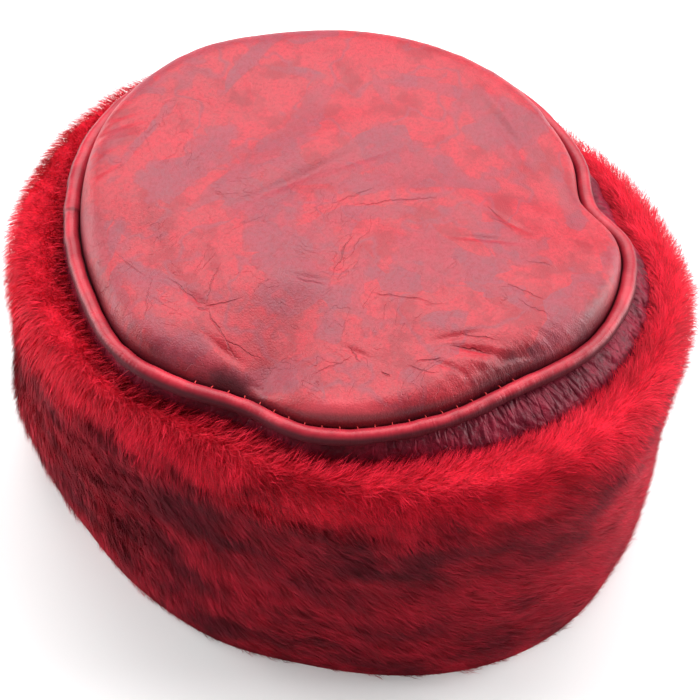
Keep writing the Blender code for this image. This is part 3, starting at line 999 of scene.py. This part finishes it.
def build_side(material, shift):
    """The leather wall: a gathered strip round the seam, then a plain wall down inside the band."""
    angle = angles_round(WALL_COLUMNS)
    outer = strip_point(angle, np.linspace(0.0, STRIP_END, STRIP_ROWS)[:, None])
    inner = strip_point(angle, np.array(INNER_STRIP_SHARES)[:, None])
    inner = inner - direction(angle) * INNER_STRIP_SHIFT - UPRIGHT * LEATHER
    wall = wall_rings(angle, WALL_HEIGHTS, 0.0)
    inner_wall = wall_rings(angle, INNER_WALL_HEIGHTS, LEATHER)
    grid = np.concatenate((outer, wall, inner_wall, inner, outer[:1]))
    return closed_piece("side_leather_wall", grid, 1 - rolled_out(grid), "OFBake", material, shift, -1)[0]


def band_face(angle, height):
    """How far out the roots of the fur lie on the side of the band."""
    base = oval(BASE_HALF, angle) + round_hat(BAND, "base", angle)
    shoulder = oval(SHOULDER_HALF, angle) + round_hat(BAND, "shoulder", angle)
    swell = spread_rows(SWELLS, "out", angle, height)
    return blend(base, shoulder, ease(height / SHOULDER_HEIGHT)) + swell - ROOT_DEPTH


def rim_point(angle, share):
    """A root on the roll of fur that runs from the shoulder, at share 0, over the top to the lip, at 1."""
    outer = band_face(angle, SHOULDER_HEIGHT)
    lip = wall_out(angle, LIP_HEIGHT) + GAP
    sway = np.cos(math.pi * share)
    sway = np.copysign(np.abs(sway) ** RIM_SQUARENESS, sway)
    foot = np.where(share < 0.5, SHOULDER_HEIGHT, LIP_HEIGHT)
    top = BAND_HEIGHT + round_hat(BAND, "rim", angle) - RIM_ROOT_DEPTH
    rise = np.abs(np.sin(math.pi * share)) ** RIM_SQUARENESS
    return place_at(angle, blend(lip, outer, (sway + 1) / 2), blend(foot, top, rise))


def over_rim(share):
    """How far over the rim a place on the skin lies, from 0 at the shoulder to 1 at the lip."""
    return np.clip((share - SIDE_SHARE) / (1 - SIDE_SHARE), 0, 1)


def skin_point(angle, share):
    """Points of the skin: up the band's side until SIDE_SHARE, then over the rim."""
    up = share / SIDE_SHARE
    height = blend(HEM_HEIGHT, SHOULDER_HEIGHT, np.clip(up, 0, 1))
    height = height - HEM_HEIGHT * (1 - ease(up / HEM_SHARE))
    side = place_at(angle, band_face(angle, height), height)
    return np.where((share <= SIDE_SHARE)[..., None], side, rim_point(angle, over_rim(share)))


def skin_frame(angle, share):
    """Roots on the skin, with the directions out of it, round the hat, and up it."""
    root = skin_point(angle, share)
    around = unit(skin_point(angle + SMALL_ANGLE, share) - skin_point(angle - SMALL_ANGLE, share))
    low, high = np.clip(share - SMALL_SHARE, 0, 1), np.clip(share + SMALL_SHARE, 0, 1)
    up = unit(skin_point(angle, high) - skin_point(angle, low))
    return root, unit(np.cross(around, up)), around, up


def build_undercoat(material, shift):
    """The skin and the short dense wool under the hair, closed by the hide inside and the hem below."""
    angle = angles_round(SKIN_COLUMNS)
    angles, shares = np.meshgrid(angle, np.linspace(0, 1, SKIN_ROWS))
    root, out, _, _ = skin_frame(angles, shares)
    fade = ease(shares / HEM_FADE) * ease((1 - shares) / LIP_FADE)
    outer = root + out * (SKIN_OUT + noise_layers(SKIN_LUMPS, angles, shares) * fade)[..., None]
    grid = np.concatenate((outer, wall_rings(angle, HIDE_HEIGHTS, -GAP), outer[:1]))
    undercoat, faces = closed_piece("fur_undercoat", grid, rolled_out(grid), "OFBake", material, shift)
    add_map(undercoat, "shade", shade_map(grid.reshape(-1, 3))[faces])
    return undercoat


def shade_map(points):
    """How much painted light or painted shade the fur has at each point."""
    tone = spread_rows(FUR_LIGHT_AND_SHADE, "tone", angle_of(points), points[:, 2])
    return np.stack((tone, np.zeros_like(tone)), -1)


def hair_lie(angle, share):
    """How far the hair's lie turns up from going round the hat, in radians, and how upright it stands."""
    sway = noise_layers(LIE_SWAYS, angle, share)
    rim = blend(*RIM_LIES, ease((over_rim(share) - 0.3) / 0.6)) + RIM_SWAY * sway
    at_rim = ease((share - SIDE_SHARE + 0.09) / 0.12)
    stand = blend(SIDE_STAND, RIM_STAND, at_rim) + noise_layers(STAND_CHANGES, angle, share)
    return blend(SIDE_LIE + sway, rim, at_rim), stand


def nearest_tuft(angle, share, chance):
    """For each hair, the place of the tuft that it belongs to, and a number for that tuft."""
    here = np.stack((angle / 360 * TUFT_COLUMNS, share * TUFT_ROWS), -1)
    lattice = chance.uniform(0.1, 0.9, (TUFT_ROWS + 2, TUFT_COLUMNS, 2))
    least = np.full(angle.shape, np.inf)
    tuft = here.copy()
    number = np.zeros(angle.shape, int)
    for row_step in (-1, 0, 1):
        for column_step in (-1, 0, 1):
            column, row = np.moveaxis(np.floor(here).astype(int), -1, 0) + [[column_step], [row_step]]
            row = np.clip(row, 0, TUFT_ROWS + 1)
            wrapped = column % TUFT_COLUMNS
            spot = np.stack((column, row), -1) + lattice[row, wrapped]
            far = ((spot - here) ** 2).sum(-1)
            closer = far < least
            least = np.where(closer, far, least)
            tuft = np.where(closer[:, None], spot, tuft)
            number = np.where(closer, row * TUFT_COLUMNS + wrapped, number)
    return tuft[:, 0] / TUFT_COLUMNS * 360, np.clip(tuft[:, 1] / TUFT_ROWS, 0, 1), number


def hair_length(angle, share):
    """The usual length of a hair: shorter at the lip, and ragged along the hem."""
    length = blend(HAIR_LENGTH, LIP_HAIR, ease((over_rim(share) - 0.6) / 0.4))
    ragged = 0.5 + 0.5 * ring_noise(angle, 0.5 + 0 * share, HEM_TUFTS, seed=85)
    return length * blend(blend(*HEM_LENGTHS, ragged), 1.0, ease(share / HEM_RAGGED_SHARE))


def hair_path(angle, share, length_share, lean_change, turn_change):
    """The three points of a hair: root, bend and tip. It rises out of the skin, then lies over."""
    root, out, around, up = skin_frame(angle, share)
    turn, stand = hair_lie(angle, share)
    turn, stand = (turn + turn_change)[..., None], (stand * lean_change)[..., None]
    lie = around * np.cos(turn) + up * np.sin(turn)
    length = (hair_length(angle, share) * length_share)[..., None]
    rise = unit(out * (stand + RISE_MORE) + lie)
    fall = unit(out * (stand - FALL_LESS) + lie * 1.05)
    base = root - out * ROOT_SINK
    bend = base + rise * length * BEND_SHARE
    return base, bend, bend + fall * length * (1 - BEND_SHARE), out


def combed_hair(chance):
    """Every hair's root, bend, tip and outward direction, then its column and the chances of its tuft."""
    column, row = np.meshgrid(np.arange(HAIR_COLUMNS), np.arange(HAIR_ROWS))
    column, row = column.ravel(), row.ravel()
    count = len(column)
    angle = (column + chance.uniform(0, 1, count)) / HAIR_COLUMNS * 360
    share = (row + chance.uniform(0, 1, count)) / HAIR_ROWS
    tuft_angle, tuft_share, tuft = nearest_tuft(angle, share, chance)
    in_tuft = chance.uniform(0, 1, (tuft.max() + 1, 3))[tuft]
    tuft_lean, tuft_turn = blend(*TUFT_LEANS, in_tuft[:, 1]), blend(*TUFT_TURNS, in_tuft[:, 2])
    length_share = chance.uniform(*LENGTHS, count) * blend(*TUFT_LENGTHS, in_tuft[:, 0])
    length_share *= np.where(chance.uniform(0, 1, count) > LONG_HAIR_CHANCE, LONG_HAIR, 1.0)
    lean = chance.uniform(*LEANS, count) * tuft_lean
    turn = chance.normal(0, HAIR_TURN, count) + tuft_turn
    base, bend, tip, out = hair_path(angle, share, length_share, lean, turn)
    tuft_length = blend(*TUFT_MIDDLE_LENGTHS, in_tuft[:, 0])
    _, tuft_bend, tuft_tip, _ = hair_path(tuft_angle, tuft_share, tuft_length, tuft_lean, tuft_turn)
    pull = (TUFT_PULL * chance.uniform(*PULLS, count))[:, None]
    bend = blend(bend, tuft_bend, pull * BEND_PULL)
    tip = blend(tip, tuft_tip, pull)
    curl = HAIR_CURL * chance.normal(0, 1, count) * np.linalg.norm(tip - base, axis=-1)
    bend = bend + unit(np.cross(tip - base, out)) * curl[:, None]
    for spots in (base, bend, tip):
        low = spots[:, 2] < HAIR_FLOOR
        spots[low, 2] = HAIR_FLOOR + 0.25 * np.minimum(HAIR_FLOOR - spots[low, 2], HEM_HEIGHT)
    return base, bend, tip, out, column, in_tuft


def build_hair(material, shift):
    """The hair, in pieces that each cover a stretch of the band. A hair is a blade of three triangles."""
    chance = np.random.default_rng(HAIR_SEED)
    base, bend, tip, out, column, in_tuft = combed_hair(chance)
    count = len(base)
    facing = unit(out + FACING_CHANCE * chance.normal(0, 1, (count, 3)))
    half_low = unit(np.cross(bend - base, facing)) * HAIR_WIDTH / 2
    half_mid = unit(np.cross(tip - bend, facing)) * HAIR_WIDTH / 2
    points = np.stack((base - half_low, base + half_low, bend + half_mid, bend - half_mid, tip), 1)
    strand = unit(tip - base)
    across = unit(out - strand * (out * strand).sum(-1, keepdims=True))
    normal = NORMAL_OUT * out + NORMAL_ACROSS * across
    normal = unit(normal + NORMAL_CHANCE * chance.normal(0, 1, (count, 3)))
    tone = blend(chance.uniform(0, 1, count), in_tuft[:, 1], TUFT_TONE)
    pieces = []
    for piece in range(HAIR_PIECES):
        chosen = np.nonzero(column * HAIR_PIECES // HAIR_COLUMNS == piece)[0]
        name = f"fur_hair_{piece + 1}"
        pieces.append(hair_piece(name, points[chosen] + shift, normal[chosen], tone[chosen], material))
    return pieces


def hair_piece(name, points, normal, tone, material):
    """One mesh of hairs. Each has its own small cell on the bake map, so it keeps its colour along it."""
    count = len(points)
    first = np.arange(count)[:, None] * 5
    corners = np.array([[0, 1, 2], [0, 2, 3], [3, 2, 4]])
    faces = (first[:, :, None] + corners[None]).reshape(-1, 3)
    made = mesh_object(name, points.reshape(-1, 3), faces, material)
    made.data.normals_split_custom_set_from_vertices(np.repeat(normal, 5, axis=0))
    corner = np.tile(corners.ravel(), count)
    hair = np.repeat(np.arange(count), corners.size)
    share = np.array([0.0, 0.0, BEND_SHARE, BEND_SHARE, 1.0])[corner]
    add_map(made, "strand", np.stack((tone[hair], share), -1))
    add_map(made, "shade", shade_map(points[:, 0])[hair])
    cells = HAIR_MAP_PIXELS // HAIR_CELL
    left = (hair % cells) * HAIR_CELL + np.array(HAIR_CELL_ACROSS)[corner]
    low = (hair // cells) * HAIR_CELL + 0.5 + 3.0 * share
    add_map(made, "OFBake", np.stack((left, low), -1) / HAIR_MAP_PIXELS)
    return made


def stitch_angles():
    """Where the stitches sit, evenly spaced along the front of the seam."""
    fine = np.linspace(*STITCH_SPAN, 1201)
    path = place_at(fine, edge("piping", fine) - STITCH_LINE[0], seam_height(fine) + STITCH_LINE[1])
    walked = np.concatenate(([0.0], np.cumsum(np.linalg.norm(np.diff(path, axis=0), axis=1))))
    count = int(walked[-1] / STITCH_SPACING)
    return np.interp((np.arange(count) + 0.5) * walked[-1] / count, walked, fine)


def build_stitches(material, shift):
    """Thread stitches that bind the piping's inner side to the crown. They show only along the front."""
    chance = np.random.default_rng(STITCH_SEED)
    steps = np.linspace(-0.5, 0.5, STITCH_STEPS)[:, None, None]
    turn = 2 * math.pi * np.arange(STITCH_SIDES)[None, :, None] / STITCH_SIDES
    thick = STITCH_THICKNESS / 2 * np.sqrt(np.maximum(0.04, 1 - (2 * steps) ** 4))
    arch = STITCH_ARCH * (1 - (2 * steps) ** 2)
    quads = grid_faces(STITCH_STEPS, STITCH_SIDES)
    points, faces = [], []
    for index, angle in enumerate(stitch_angles()):
        outward = direction(angle)
        around = np.cross(UPRIGHT, outward)
        slant = unit(around * chance.uniform(*STITCH_SLANTS) - outward * 0.9 + UPRIGHT * 0.25)
        sideways = unit(np.cross(slant, UPRIGHT))
        lift = np.cross(sideways, slant)
        base = place_at(angle, edge("piping", angle) - STITCH_IN, seam_height(angle) + STITCH_UP)
        middle = base + slant * steps * STITCH_LENGTH + lift * arch
        points.append((middle + (sideways * np.cos(turn) + lift * np.sin(turn)) * thick).reshape(-1, 3))
        faces.append(quads + index * STITCH_STEPS * STITCH_SIDES)
    return mesh_object("seam_stitches", np.concatenate(points) + shift, np.concatenate(faces), material)


class Wire:
    """One output of a material's node. Arithmetic on it adds the nodes that work the result out."""

    def __init__(self, socket):
        self.socket = socket
        self.tree = socket.id_data

    def math(self, operation, other=0.0):
        return put(self.tree, "Math", {0: self, 1: other}, operation=operation)

    def __add__(self, other):
        return self.math("ADD", other)

    def __sub__(self, other):
        return self.math("SUBTRACT", other)

    def __mul__(self, other):
        return self.math("MULTIPLY", other)

    def __abs__(self):
        return self.math("ABSOLUTE")

    def most(self, other):
        return self.math("MAXIMUM", other)

    def axis(self, letter):
        return put(self.tree, "SeparateXYZ", {0: self}, letter)

    def stretched(self, scale):
        return put(self.tree, "Mapping", {"Vector": self, "Scale": scale})

    def step(self, low, high, start=0.0, end=1.0):
        """Goes smoothly from start to end while this goes from low to high."""
        values = {"Value": self, "From Min": low, "From Max": high, "To Min": start, "To Max": end}
        return put(self.tree, "MapRange", values, interpolation_type="SMOOTHSTEP")

    def noise(self, size, detail=3.0, roughness=0.55, output="Fac"):
        values = {"Vector": self, "Scale": 1 / size, "Detail": detail, "Roughness": roughness}
        return put(self.tree, "TexNoise", values, output)

    def wandered(self, size, reach):
        """This place, moved about by noise."""
        moved = self.noise(size, 2.0, output="Color")
        centred = put(self.tree, "VectorMath", {0: moved, 1: (0.5, 0.5, 0.5)}, operation="SUBTRACT")
        step = put(self.tree, "VectorMath", {0: centred, "Scale": reach}, operation="SCALE")
        return put(self.tree, "VectorMath", {0: self, 1: step}, operation="ADD")

    def cells(self, size, output, feature):
        values = {"Vector": self, "Scale": 1 / size}
        return put(self.tree, "TexVoronoi", values, output, feature=feature)

    def from_cell_edge(self, size):
        """How far this place is from the edge of its cell, in cells."""
        return self.cells(size, "Distance", "DISTANCE_TO_EDGE")


def put(tree, kind, values, output=0, **settings):
    """Adds a node and gives one of its outputs. A value that is a wire is linked, and any other is set."""
    node = tree.nodes.new("ShaderNode" + kind)
    for name, setting in settings.items():
        setattr(node, name, setting)
    for name, value in values.items():
        if isinstance(value, Wire):
            tree.links.new(value.socket, node.inputs[name])
        else:
            node.inputs[name].default_value = value
    return Wire(node.outputs[output])


def object_place(tree):
    return put(tree, "TexCoord", {}, "Object")


def map_place(tree, name):
    return put(tree, "UVMap", {}, uv_map=name)


def mixed(factor, first, second):
    """A colour between two, each a wire or three numbers."""
    first, second = (each if isinstance(each, Wire) else (*each, 1.0) for each in (first, second))
    return put(factor.tree, "Mix", {0: factor, 6: first, 7: second}, 2, data_type="RGBA")


def times(first, second):
    """Two colours, multiplied."""
    values = {0: 1.0, 6: first, 7: second}
    return put(first.tree, "Mix", values, 2, data_type="RGBA", blend_type="MULTIPLY")


def bumps(*layers):
    """A normal from layers of heights that go from 0 to 1, each with its depth in metres."""
    below = {}
    for height, depth in layers:
        normal = put(height.tree, "Bump", {"Height": height, "Distance": depth, "Strength": 1.0, **below})
        below = {"Normal": normal}
    return normal


def line_marks(spot, rows):
    """How strongly a place lies on one of the marks in a table, from 0 to 1."""
    strongest = None
    for row in rows:
        values = {
            "Vector": spot,
            "Location": (row.x, row.y, PIPING_HEIGHT),
            "Rotation": (0.0, 0.0, math.radians(row.turn)),
            "Scale": (row.length, row.width, 1.0),
        }
        placed = put(spot.tree, "Mapping", values, vector_type="TEXTURE")
        away = put(spot.tree, "VectorMath", {0: placed}, "Value", operation="LENGTH")
        mark = away.step(0.3, 1.1, row.rise, 0.0)
        strongest = strongest.most(mark) if strongest else mark
    return strongest


def wrinkle_lines(spot, size, stretch, thin):
    """Long wavy hairlines: the places where a stretched noise passes through its middle value."""
    value = spot.stretched(stretch).noise(size, 2.5, 0.6)
    return abs(value - 0.5).step(0.0, thin, 1.0, 0.0)


def new_material(name, roughness, specular):
    material = bpy.data.materials.new(name)
    material.use_nodes = True
    shader = material.node_tree.nodes["Principled BSDF"]
    shader.inputs["Roughness"].default_value = roughness
    shader.inputs["Specular IOR Level"].default_value = specular
    return material, material.node_tree, shader


def connect(shader, colour, normal=None, rough=None):
    for name, wire in (("Base Color", colour), ("Normal", normal), ("Roughness", rough)):
        if wire:
            wire.tree.links.new(wire.socket, shader.inputs[name])


def crown_tone(spot, stain):
    """How grey the crown's leather is, from 0 to 1, and how strongly a place lies on a patch's border.

    The patches are the charted stains, with ragged and partly straight edges."""
    cell = spot.wandered(0.020, 0.012).cells(PATCH_CELL, "Color", "F1").axis("X")
    drift = spot.noise(*PATCH_DRIFT)
    rag = spot.noise(*PATCH_RAG)
    total = stain * STAIN_SHARE + cell * CELL_SHARE + drift * DRIFT_SHARE + rag * RAG_SHARE
    patches = total.step(0.74, 0.79, 0.0, 0.62) + total.step(0.64, 0.98, 0.0, 0.38)
    facets = spot.wandered(0.008, 0.010).noise(*PATCH_FACET)
    patches = patches * facets.step(0.50, 0.53, 0.62, 1.0)
    vein = wrinkle_lines(spot.wandered(0.016, 0.012), VEIN_SIZE, (1.0, 1.0, 1.0), 0.026)
    border = abs(total - PATCH_LEVEL).step(0.0, 0.022, 0.35, 0.0)
    return patches.most(vein * 0.75), border


def crown_cracks(spot):
    """How strongly a place lies in a hairline: a charted one, or a faint one that noise draws."""
    bent = spot.wandered(0.012, 0.006)
    where_worn = spot.noise(*WORN_PATCH)
    across = wrinkle_lines(bent, 0.019, (1.0, 2.6, 1.0), 0.006) * where_worn.step(0.48, 0.66)
    along = wrinkle_lines(bent, 0.023, (2.4, 1.0, 1.0), 0.005) * where_worn.step(0.50, 0.34)
    faint = across.most(along) * spot.axis("X").step(-0.03, 0.03, 0.38, 0.10)
    return line_marks(spot.wandered(0.005, 0.0035), HAIRLINES).most(faint)


def crown_colour(spot, stain, fine, crack, from_seam):
    """Grey and red patches, then what darkens or lightens them, one row for each layer over them: the
    leather's own borders, pores, hairlines and burnish, then painted shade and a painted highlight.
    """
    grey, border = crown_tone(spot, stain)
    tone = fine.step(0.35, 0.65)
    deep = spot.wandered(0.010, 0.006).noise(*DEEP_PATCH).step(0.50, 0.64, 0.0, 0.7)
    red = mixed(deep, mixed(tone, CROWN_RED, CROWN_BRIGHT_RED), CROWN_DEEP_RED)
    colour = mixed(grey, red, mixed(tone, CROWN_GREY, CROWN_PALE_GREY))
    layers = (
        (border, CROWN_DEEP_RED),
        (spot.noise(*PORES).step(0.46, 0.66, 0.0, 0.5), CROWN_DEEP_RED),
        (crack * 0.42, CROWN_CRACK),
        # Partly burnished leather, partly painted shade in the dent and along the steep edge by the seam.
        (line_marks(spot.wandered(0.008, 0.005), BURNISH_AND_SHADE) * 0.94, CROWN_BURNISH_AND_SHADE),
        # Painted highlight: a painted sheen along the crown's front edge.
        (line_marks(spot, EDGE_SHEEN), CROWN_SHEEN_RED),
        # Painted shade in the groove beside the seam.
        (from_seam.step(0.01, 0.05, 0.6, 0.0), CROWN_GROOVE_SHADE),
    )
    for share, over in layers:
        colour = mixed(share, colour, over)
    return colour


def crown_leather():
    """Antiqued red leather: worn grey and bright red patches, hairlines, and puckers at the seam."""
    material, tree, shader = new_material("crown_antiqued_leather", 0.46, 0.48)
    spot = object_place(tree)
    charted = map_place(tree, "stain")
    seam = map_place(tree, "seam")
    from_seam = seam.axis("Y")
    fine = spot.noise(*FINE_GRAIN)
    crack = crown_cracks(spot)
    near = from_seam.step(0.05, 0.55, 1.0, 0.0)
    pucker = seam.stretched((210, 2.4, 1)).noise(1.0) * (near * charted.axis("Y"))
    grain = spot.wandered(0.0015, 0.0010).from_cell_edge(GRAIN_CELL).step(0.0, 0.25)
    smooth = put(tree, "Math", {0: 1.0, 1: crack}, operation="SUBTRACT")
    normal = bumps((grain, GRAIN_DEPTH), (fine, 0.00016), (pucker, 0.0004), (smooth, 0.00030))
    colour = crown_colour(spot, charted.axis("X"), fine, crack, from_seam)
    connect(shader, colour, normal, fine.step(0.3, 0.7, 0.42, 0.52))
    return material


def strip_leather():
    """Glossy dyed leather, gathered into fine wrinkles that run down from the seam, with painted shade in
    their crevices.
    """
    material, tree, shader = new_material("side_gathered_leather", 0.50, 0.22)
    spot = object_place(tree)
    unrolled = map_place(tree, "OFBake")
    tone = spot.noise(0.009, 4.0)
    wrinkle = unrolled.stretched((330, 110, 1)).wandered(2.5, 3.0).noise(1.0, 4.0, 0.6)
    crumple = unrolled.stretched((230, 42, 1)).wandered(1.5, 1.3).from_cell_edge(1.0).step(0.0, 0.3)
    grain = spot.from_cell_edge(0.0011).step(0.0, 0.25)
    colour = mixed(tone.step(0.35, 0.65), STRIP_DARK, STRIP_LIGHT)
    # Painted shade in the crevices of the wrinkles.
    colour = mixed(wrinkle.step(0.36, 0.46, 0.5, 0.0), colour, STRIP_CREVICE_SHADE)
    normal = bumps((grain, GRAIN_DEPTH), (wrinkle, 0.00018), (crumple, 0.00026))
    connect(shader, colour, normal, tone.step(0.3, 0.7, 0.45, 0.57))
    return material


def piping_leather():
    """The cord's leather: stretched tight, with fine wrinkles across it, and painted dark all round but its
    top, a painted shade where it turns away from the light.
    """
    material, tree, shader = new_material("piping_glossy_leather", 0.36, 0.32)
    round_cord = map_place(tree, "grain")
    wrinkle = round_cord.stretched((620, 2.2, 1)).noise(1.0)
    tone = object_place(tree).noise(0.012)
    turn = round_cord.axis("Y") * (2 * math.pi)
    # Painted shade: the cord is painted dark except on its top, where the light falls.
    shaded = (turn - 0.17).math("SINE").step(0.15, 0.90, 0.95, 0.0)
    from_lap = abs(round_cord.axis("X") - LAP_ANGLE / 360)
    colour = mixed(tone.step(0.35, 0.65), PIPING_DARK, PIPING_LIGHT)
    colour = mixed(shaded, colour, PIPING_SHADE)
    colour = mixed(from_lap.step(0.0004, 0.0020, 0.5, 0.0), colour, PIPING_LAP)
    rough = wrinkle.step(0.3, 0.7, 0.30, 0.42).most(shaded * 0.7)
    connect(shader, colour, bumps((wrinkle, 0.00022)), rough)
    return material


def fur_tones(tree):
    """The fur's colour at a place: dark and red streaks that run round the band, partly dye and partly
    painted shade of its waves, then a rim painted brighter, painted light where the light from above falls on
    its top.
    """
    spot = object_place(tree)
    streaks = spot.stretched((1, 1, 2.2)).wandered(0.020, 0.014).noise(0.024, 5.0, 0.6)
    broad = spot.stretched((1, 1, 1.6)).noise(0.055, 2.0)
    # The streaks are partly dye and partly painted shade of the fur's waves; the shade map adds painted light
    # and painted shade.
    patch = streaks * 0.7 + broad * 0.3 + map_place(tree, "shade").axis("X")
    side = mixed(patch.step(0.35, 0.63), FUR_DARK, FUR_RED)
    # Painted light: the rim is painted brighter than the side, where the light from above falls on it.
    bright = mixed(patch.step(0.34, 0.6), RIM_LIT_RED, RIM_LIT_VIVID)
    height = spot.axis("Z") + patch * 0.08
    return mixed(height.step(0.114, 0.140), side, bright)


def hair_fur():
    """Dyed hair: painted dark at the root, a painted shade where the hairs above keep the light off, brighter
    at the tip, and no two hairs quite alike.
    """
    material, tree, shader = new_material("fur_dyed_hair", 0.6, 0.14)
    strand = map_place(tree, "strand")
    varied = mixed(strand.axis("X").step(0.1, 0.9), HAIR_DULL, HAIR_VIVID)
    # Painted shade towards the root, where the hairs above keep the light off.
    root = mixed(strand.axis("Y").step(0.0, 0.8), HAIR_ROOT_SHADE, WHITE)
    connect(shader, times(times(fur_tones(tree), varied), root))
    shader.inputs["Sheen Weight"].default_value = 0.12
    shader.inputs["Sheen Roughness"].default_value = 0.45
    shader.inputs["Sheen Tint"].default_value = HAIR_SHEEN
    return material


def wool_fur():
    """The dense wool under the hair, darker than the hair and streaked the way it lies."""
    material, tree, shader = new_material("fur_undercoat_wool", 0.8, 0.15)
    streak = object_place(tree).stretched((1, 1, 3)).noise(0.0014)
    shade = mixed(streak.step(0.35, 0.65), WOOL_DARK, WOOL_LIGHT)
    connect(shader, times(fur_tones(tree), shade), bumps((streak, 0.0008)))
    return material


def thread():
    material, tree, shader = new_material("stitch_thread", 0.5, 0.4)
    connect(shader, mixed(object_place(tree).noise(0.0005, 2.0), THREAD_DARK, THREAD_LIGHT))
    return material


def dress(piece, slot, *nodes):
    """Attaches a piece to the body it rides on, and hides the CAD nodes it stands for. The slot is not used.
    """
    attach(piece, BODY)
    if nodes:
        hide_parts(*nodes)


def add_floor():
    """A pale paper floor, lit a little from below like a light table."""
    material, tree, shader = new_material("floor_paper", 0.9, 0.2)
    connect(shader, mixed(object_place(tree).noise(0.4, 2.0), FLOOR_GREY, FLOOR_PALE))
    shader.inputs["Emission Color"].default_value = (*WHITE, 1.0)
    shader.inputs["Emission Strength"].default_value = FLOOR_GLOW
    corners = np.array([(-1, -1, 0), (1, -1, 0), (1, 1, 0), (-1, 1, 0)]) * FLOOR_HALF
    mesh_object("floor", corners, np.array([(0, 1, 2, 3)]), material)


def away_at(angle, elevation):
    """The unit vector that points at an angle round the hat and an elevation."""
    turn, tilt = math.radians(angle), math.radians(elevation)
    return Vector((math.cos(turn) * math.cos(tilt), math.sin(turn) * math.cos(tilt), math.sin(tilt)))


def aim(made, place, target):
    away = Vector(place) - Vector(target)
    made.matrix_world = Matrix.Translation(place) @ away.to_track_quat("Z", "Y").to_matrix().to_4x4()


def add_lights():
    world = bpy.data.worlds.new("studio")
    world.use_nodes = True
    background = world.node_tree.nodes["Background"]
    background.inputs["Color"].default_value = (*WHITE, 1.0)
    background.inputs["Strength"].default_value = AMBIENT
    bpy.context.scene.world = world
    for row in LIGHTS:
        light = bpy.data.lights.new(row.name, "AREA")
        light.shape = "RECTANGLE"
        light.size = row.width
        light.size_y = row.height
        light.energy = row.power
        light.color = row.colour
        lamp = bpy.data.objects.new(row.name, light)
        bpy.context.scene.collection.objects.link(lamp)
        aim(lamp, Vector(LIT_MIDDLE) + away_at(row.angle, row.elevation) * row.distance, LIT_MIDDLE)


def add_camera():
    """The camera at the photograph's angle. It is rolled a little, as the photographer held it."""
    data = bpy.data.cameras.new("photo_camera")
    data.lens = CAMERA_LENS
    data.sensor_width = CAMERA_SENSOR
    data.sensor_fit = "HORIZONTAL"
    camera = bpy.data.objects.new("photo_camera", data)
    bpy.context.scene.collection.objects.link(camera)
    place = Vector(CAMERA_TARGET) + away_at(CAMERA_ANGLE, CAMERA_ELEVATION) * CAMERA_DISTANCE
    aim(camera, place, CAMERA_TARGET)
    camera.matrix_world = camera.matrix_world @ Matrix.Rotation(math.radians(CAMERA_ROLL), 4, "Z")
    bpy.context.scene.camera = camera


def main():
    for old in list(bpy.data.objects):
        bpy.data.objects.remove(old)
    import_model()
    bpy.context.scene.view_settings.view_transform = "Standard"
    add_camera()
    add_lights()
    add_floor()
    shift = frame_shift()
    crown = build_crown(crown_leather(), shift)
    dress(crown, "crown_leather", "crown_top")
    dress(build_piping(piping_leather(), shift), "piping_leather", "piping")
    dress(build_side(strip_leather(), shift), "side_leather", "crown_side")
    dress(build_undercoat(wool_fur(), shift), "fur", "fur_band")
    for piece in build_hair(hair_fur(), shift):
        dress(piece, "fur")
    dress(build_stitches(thread(), shift), "piping_leather")


main()
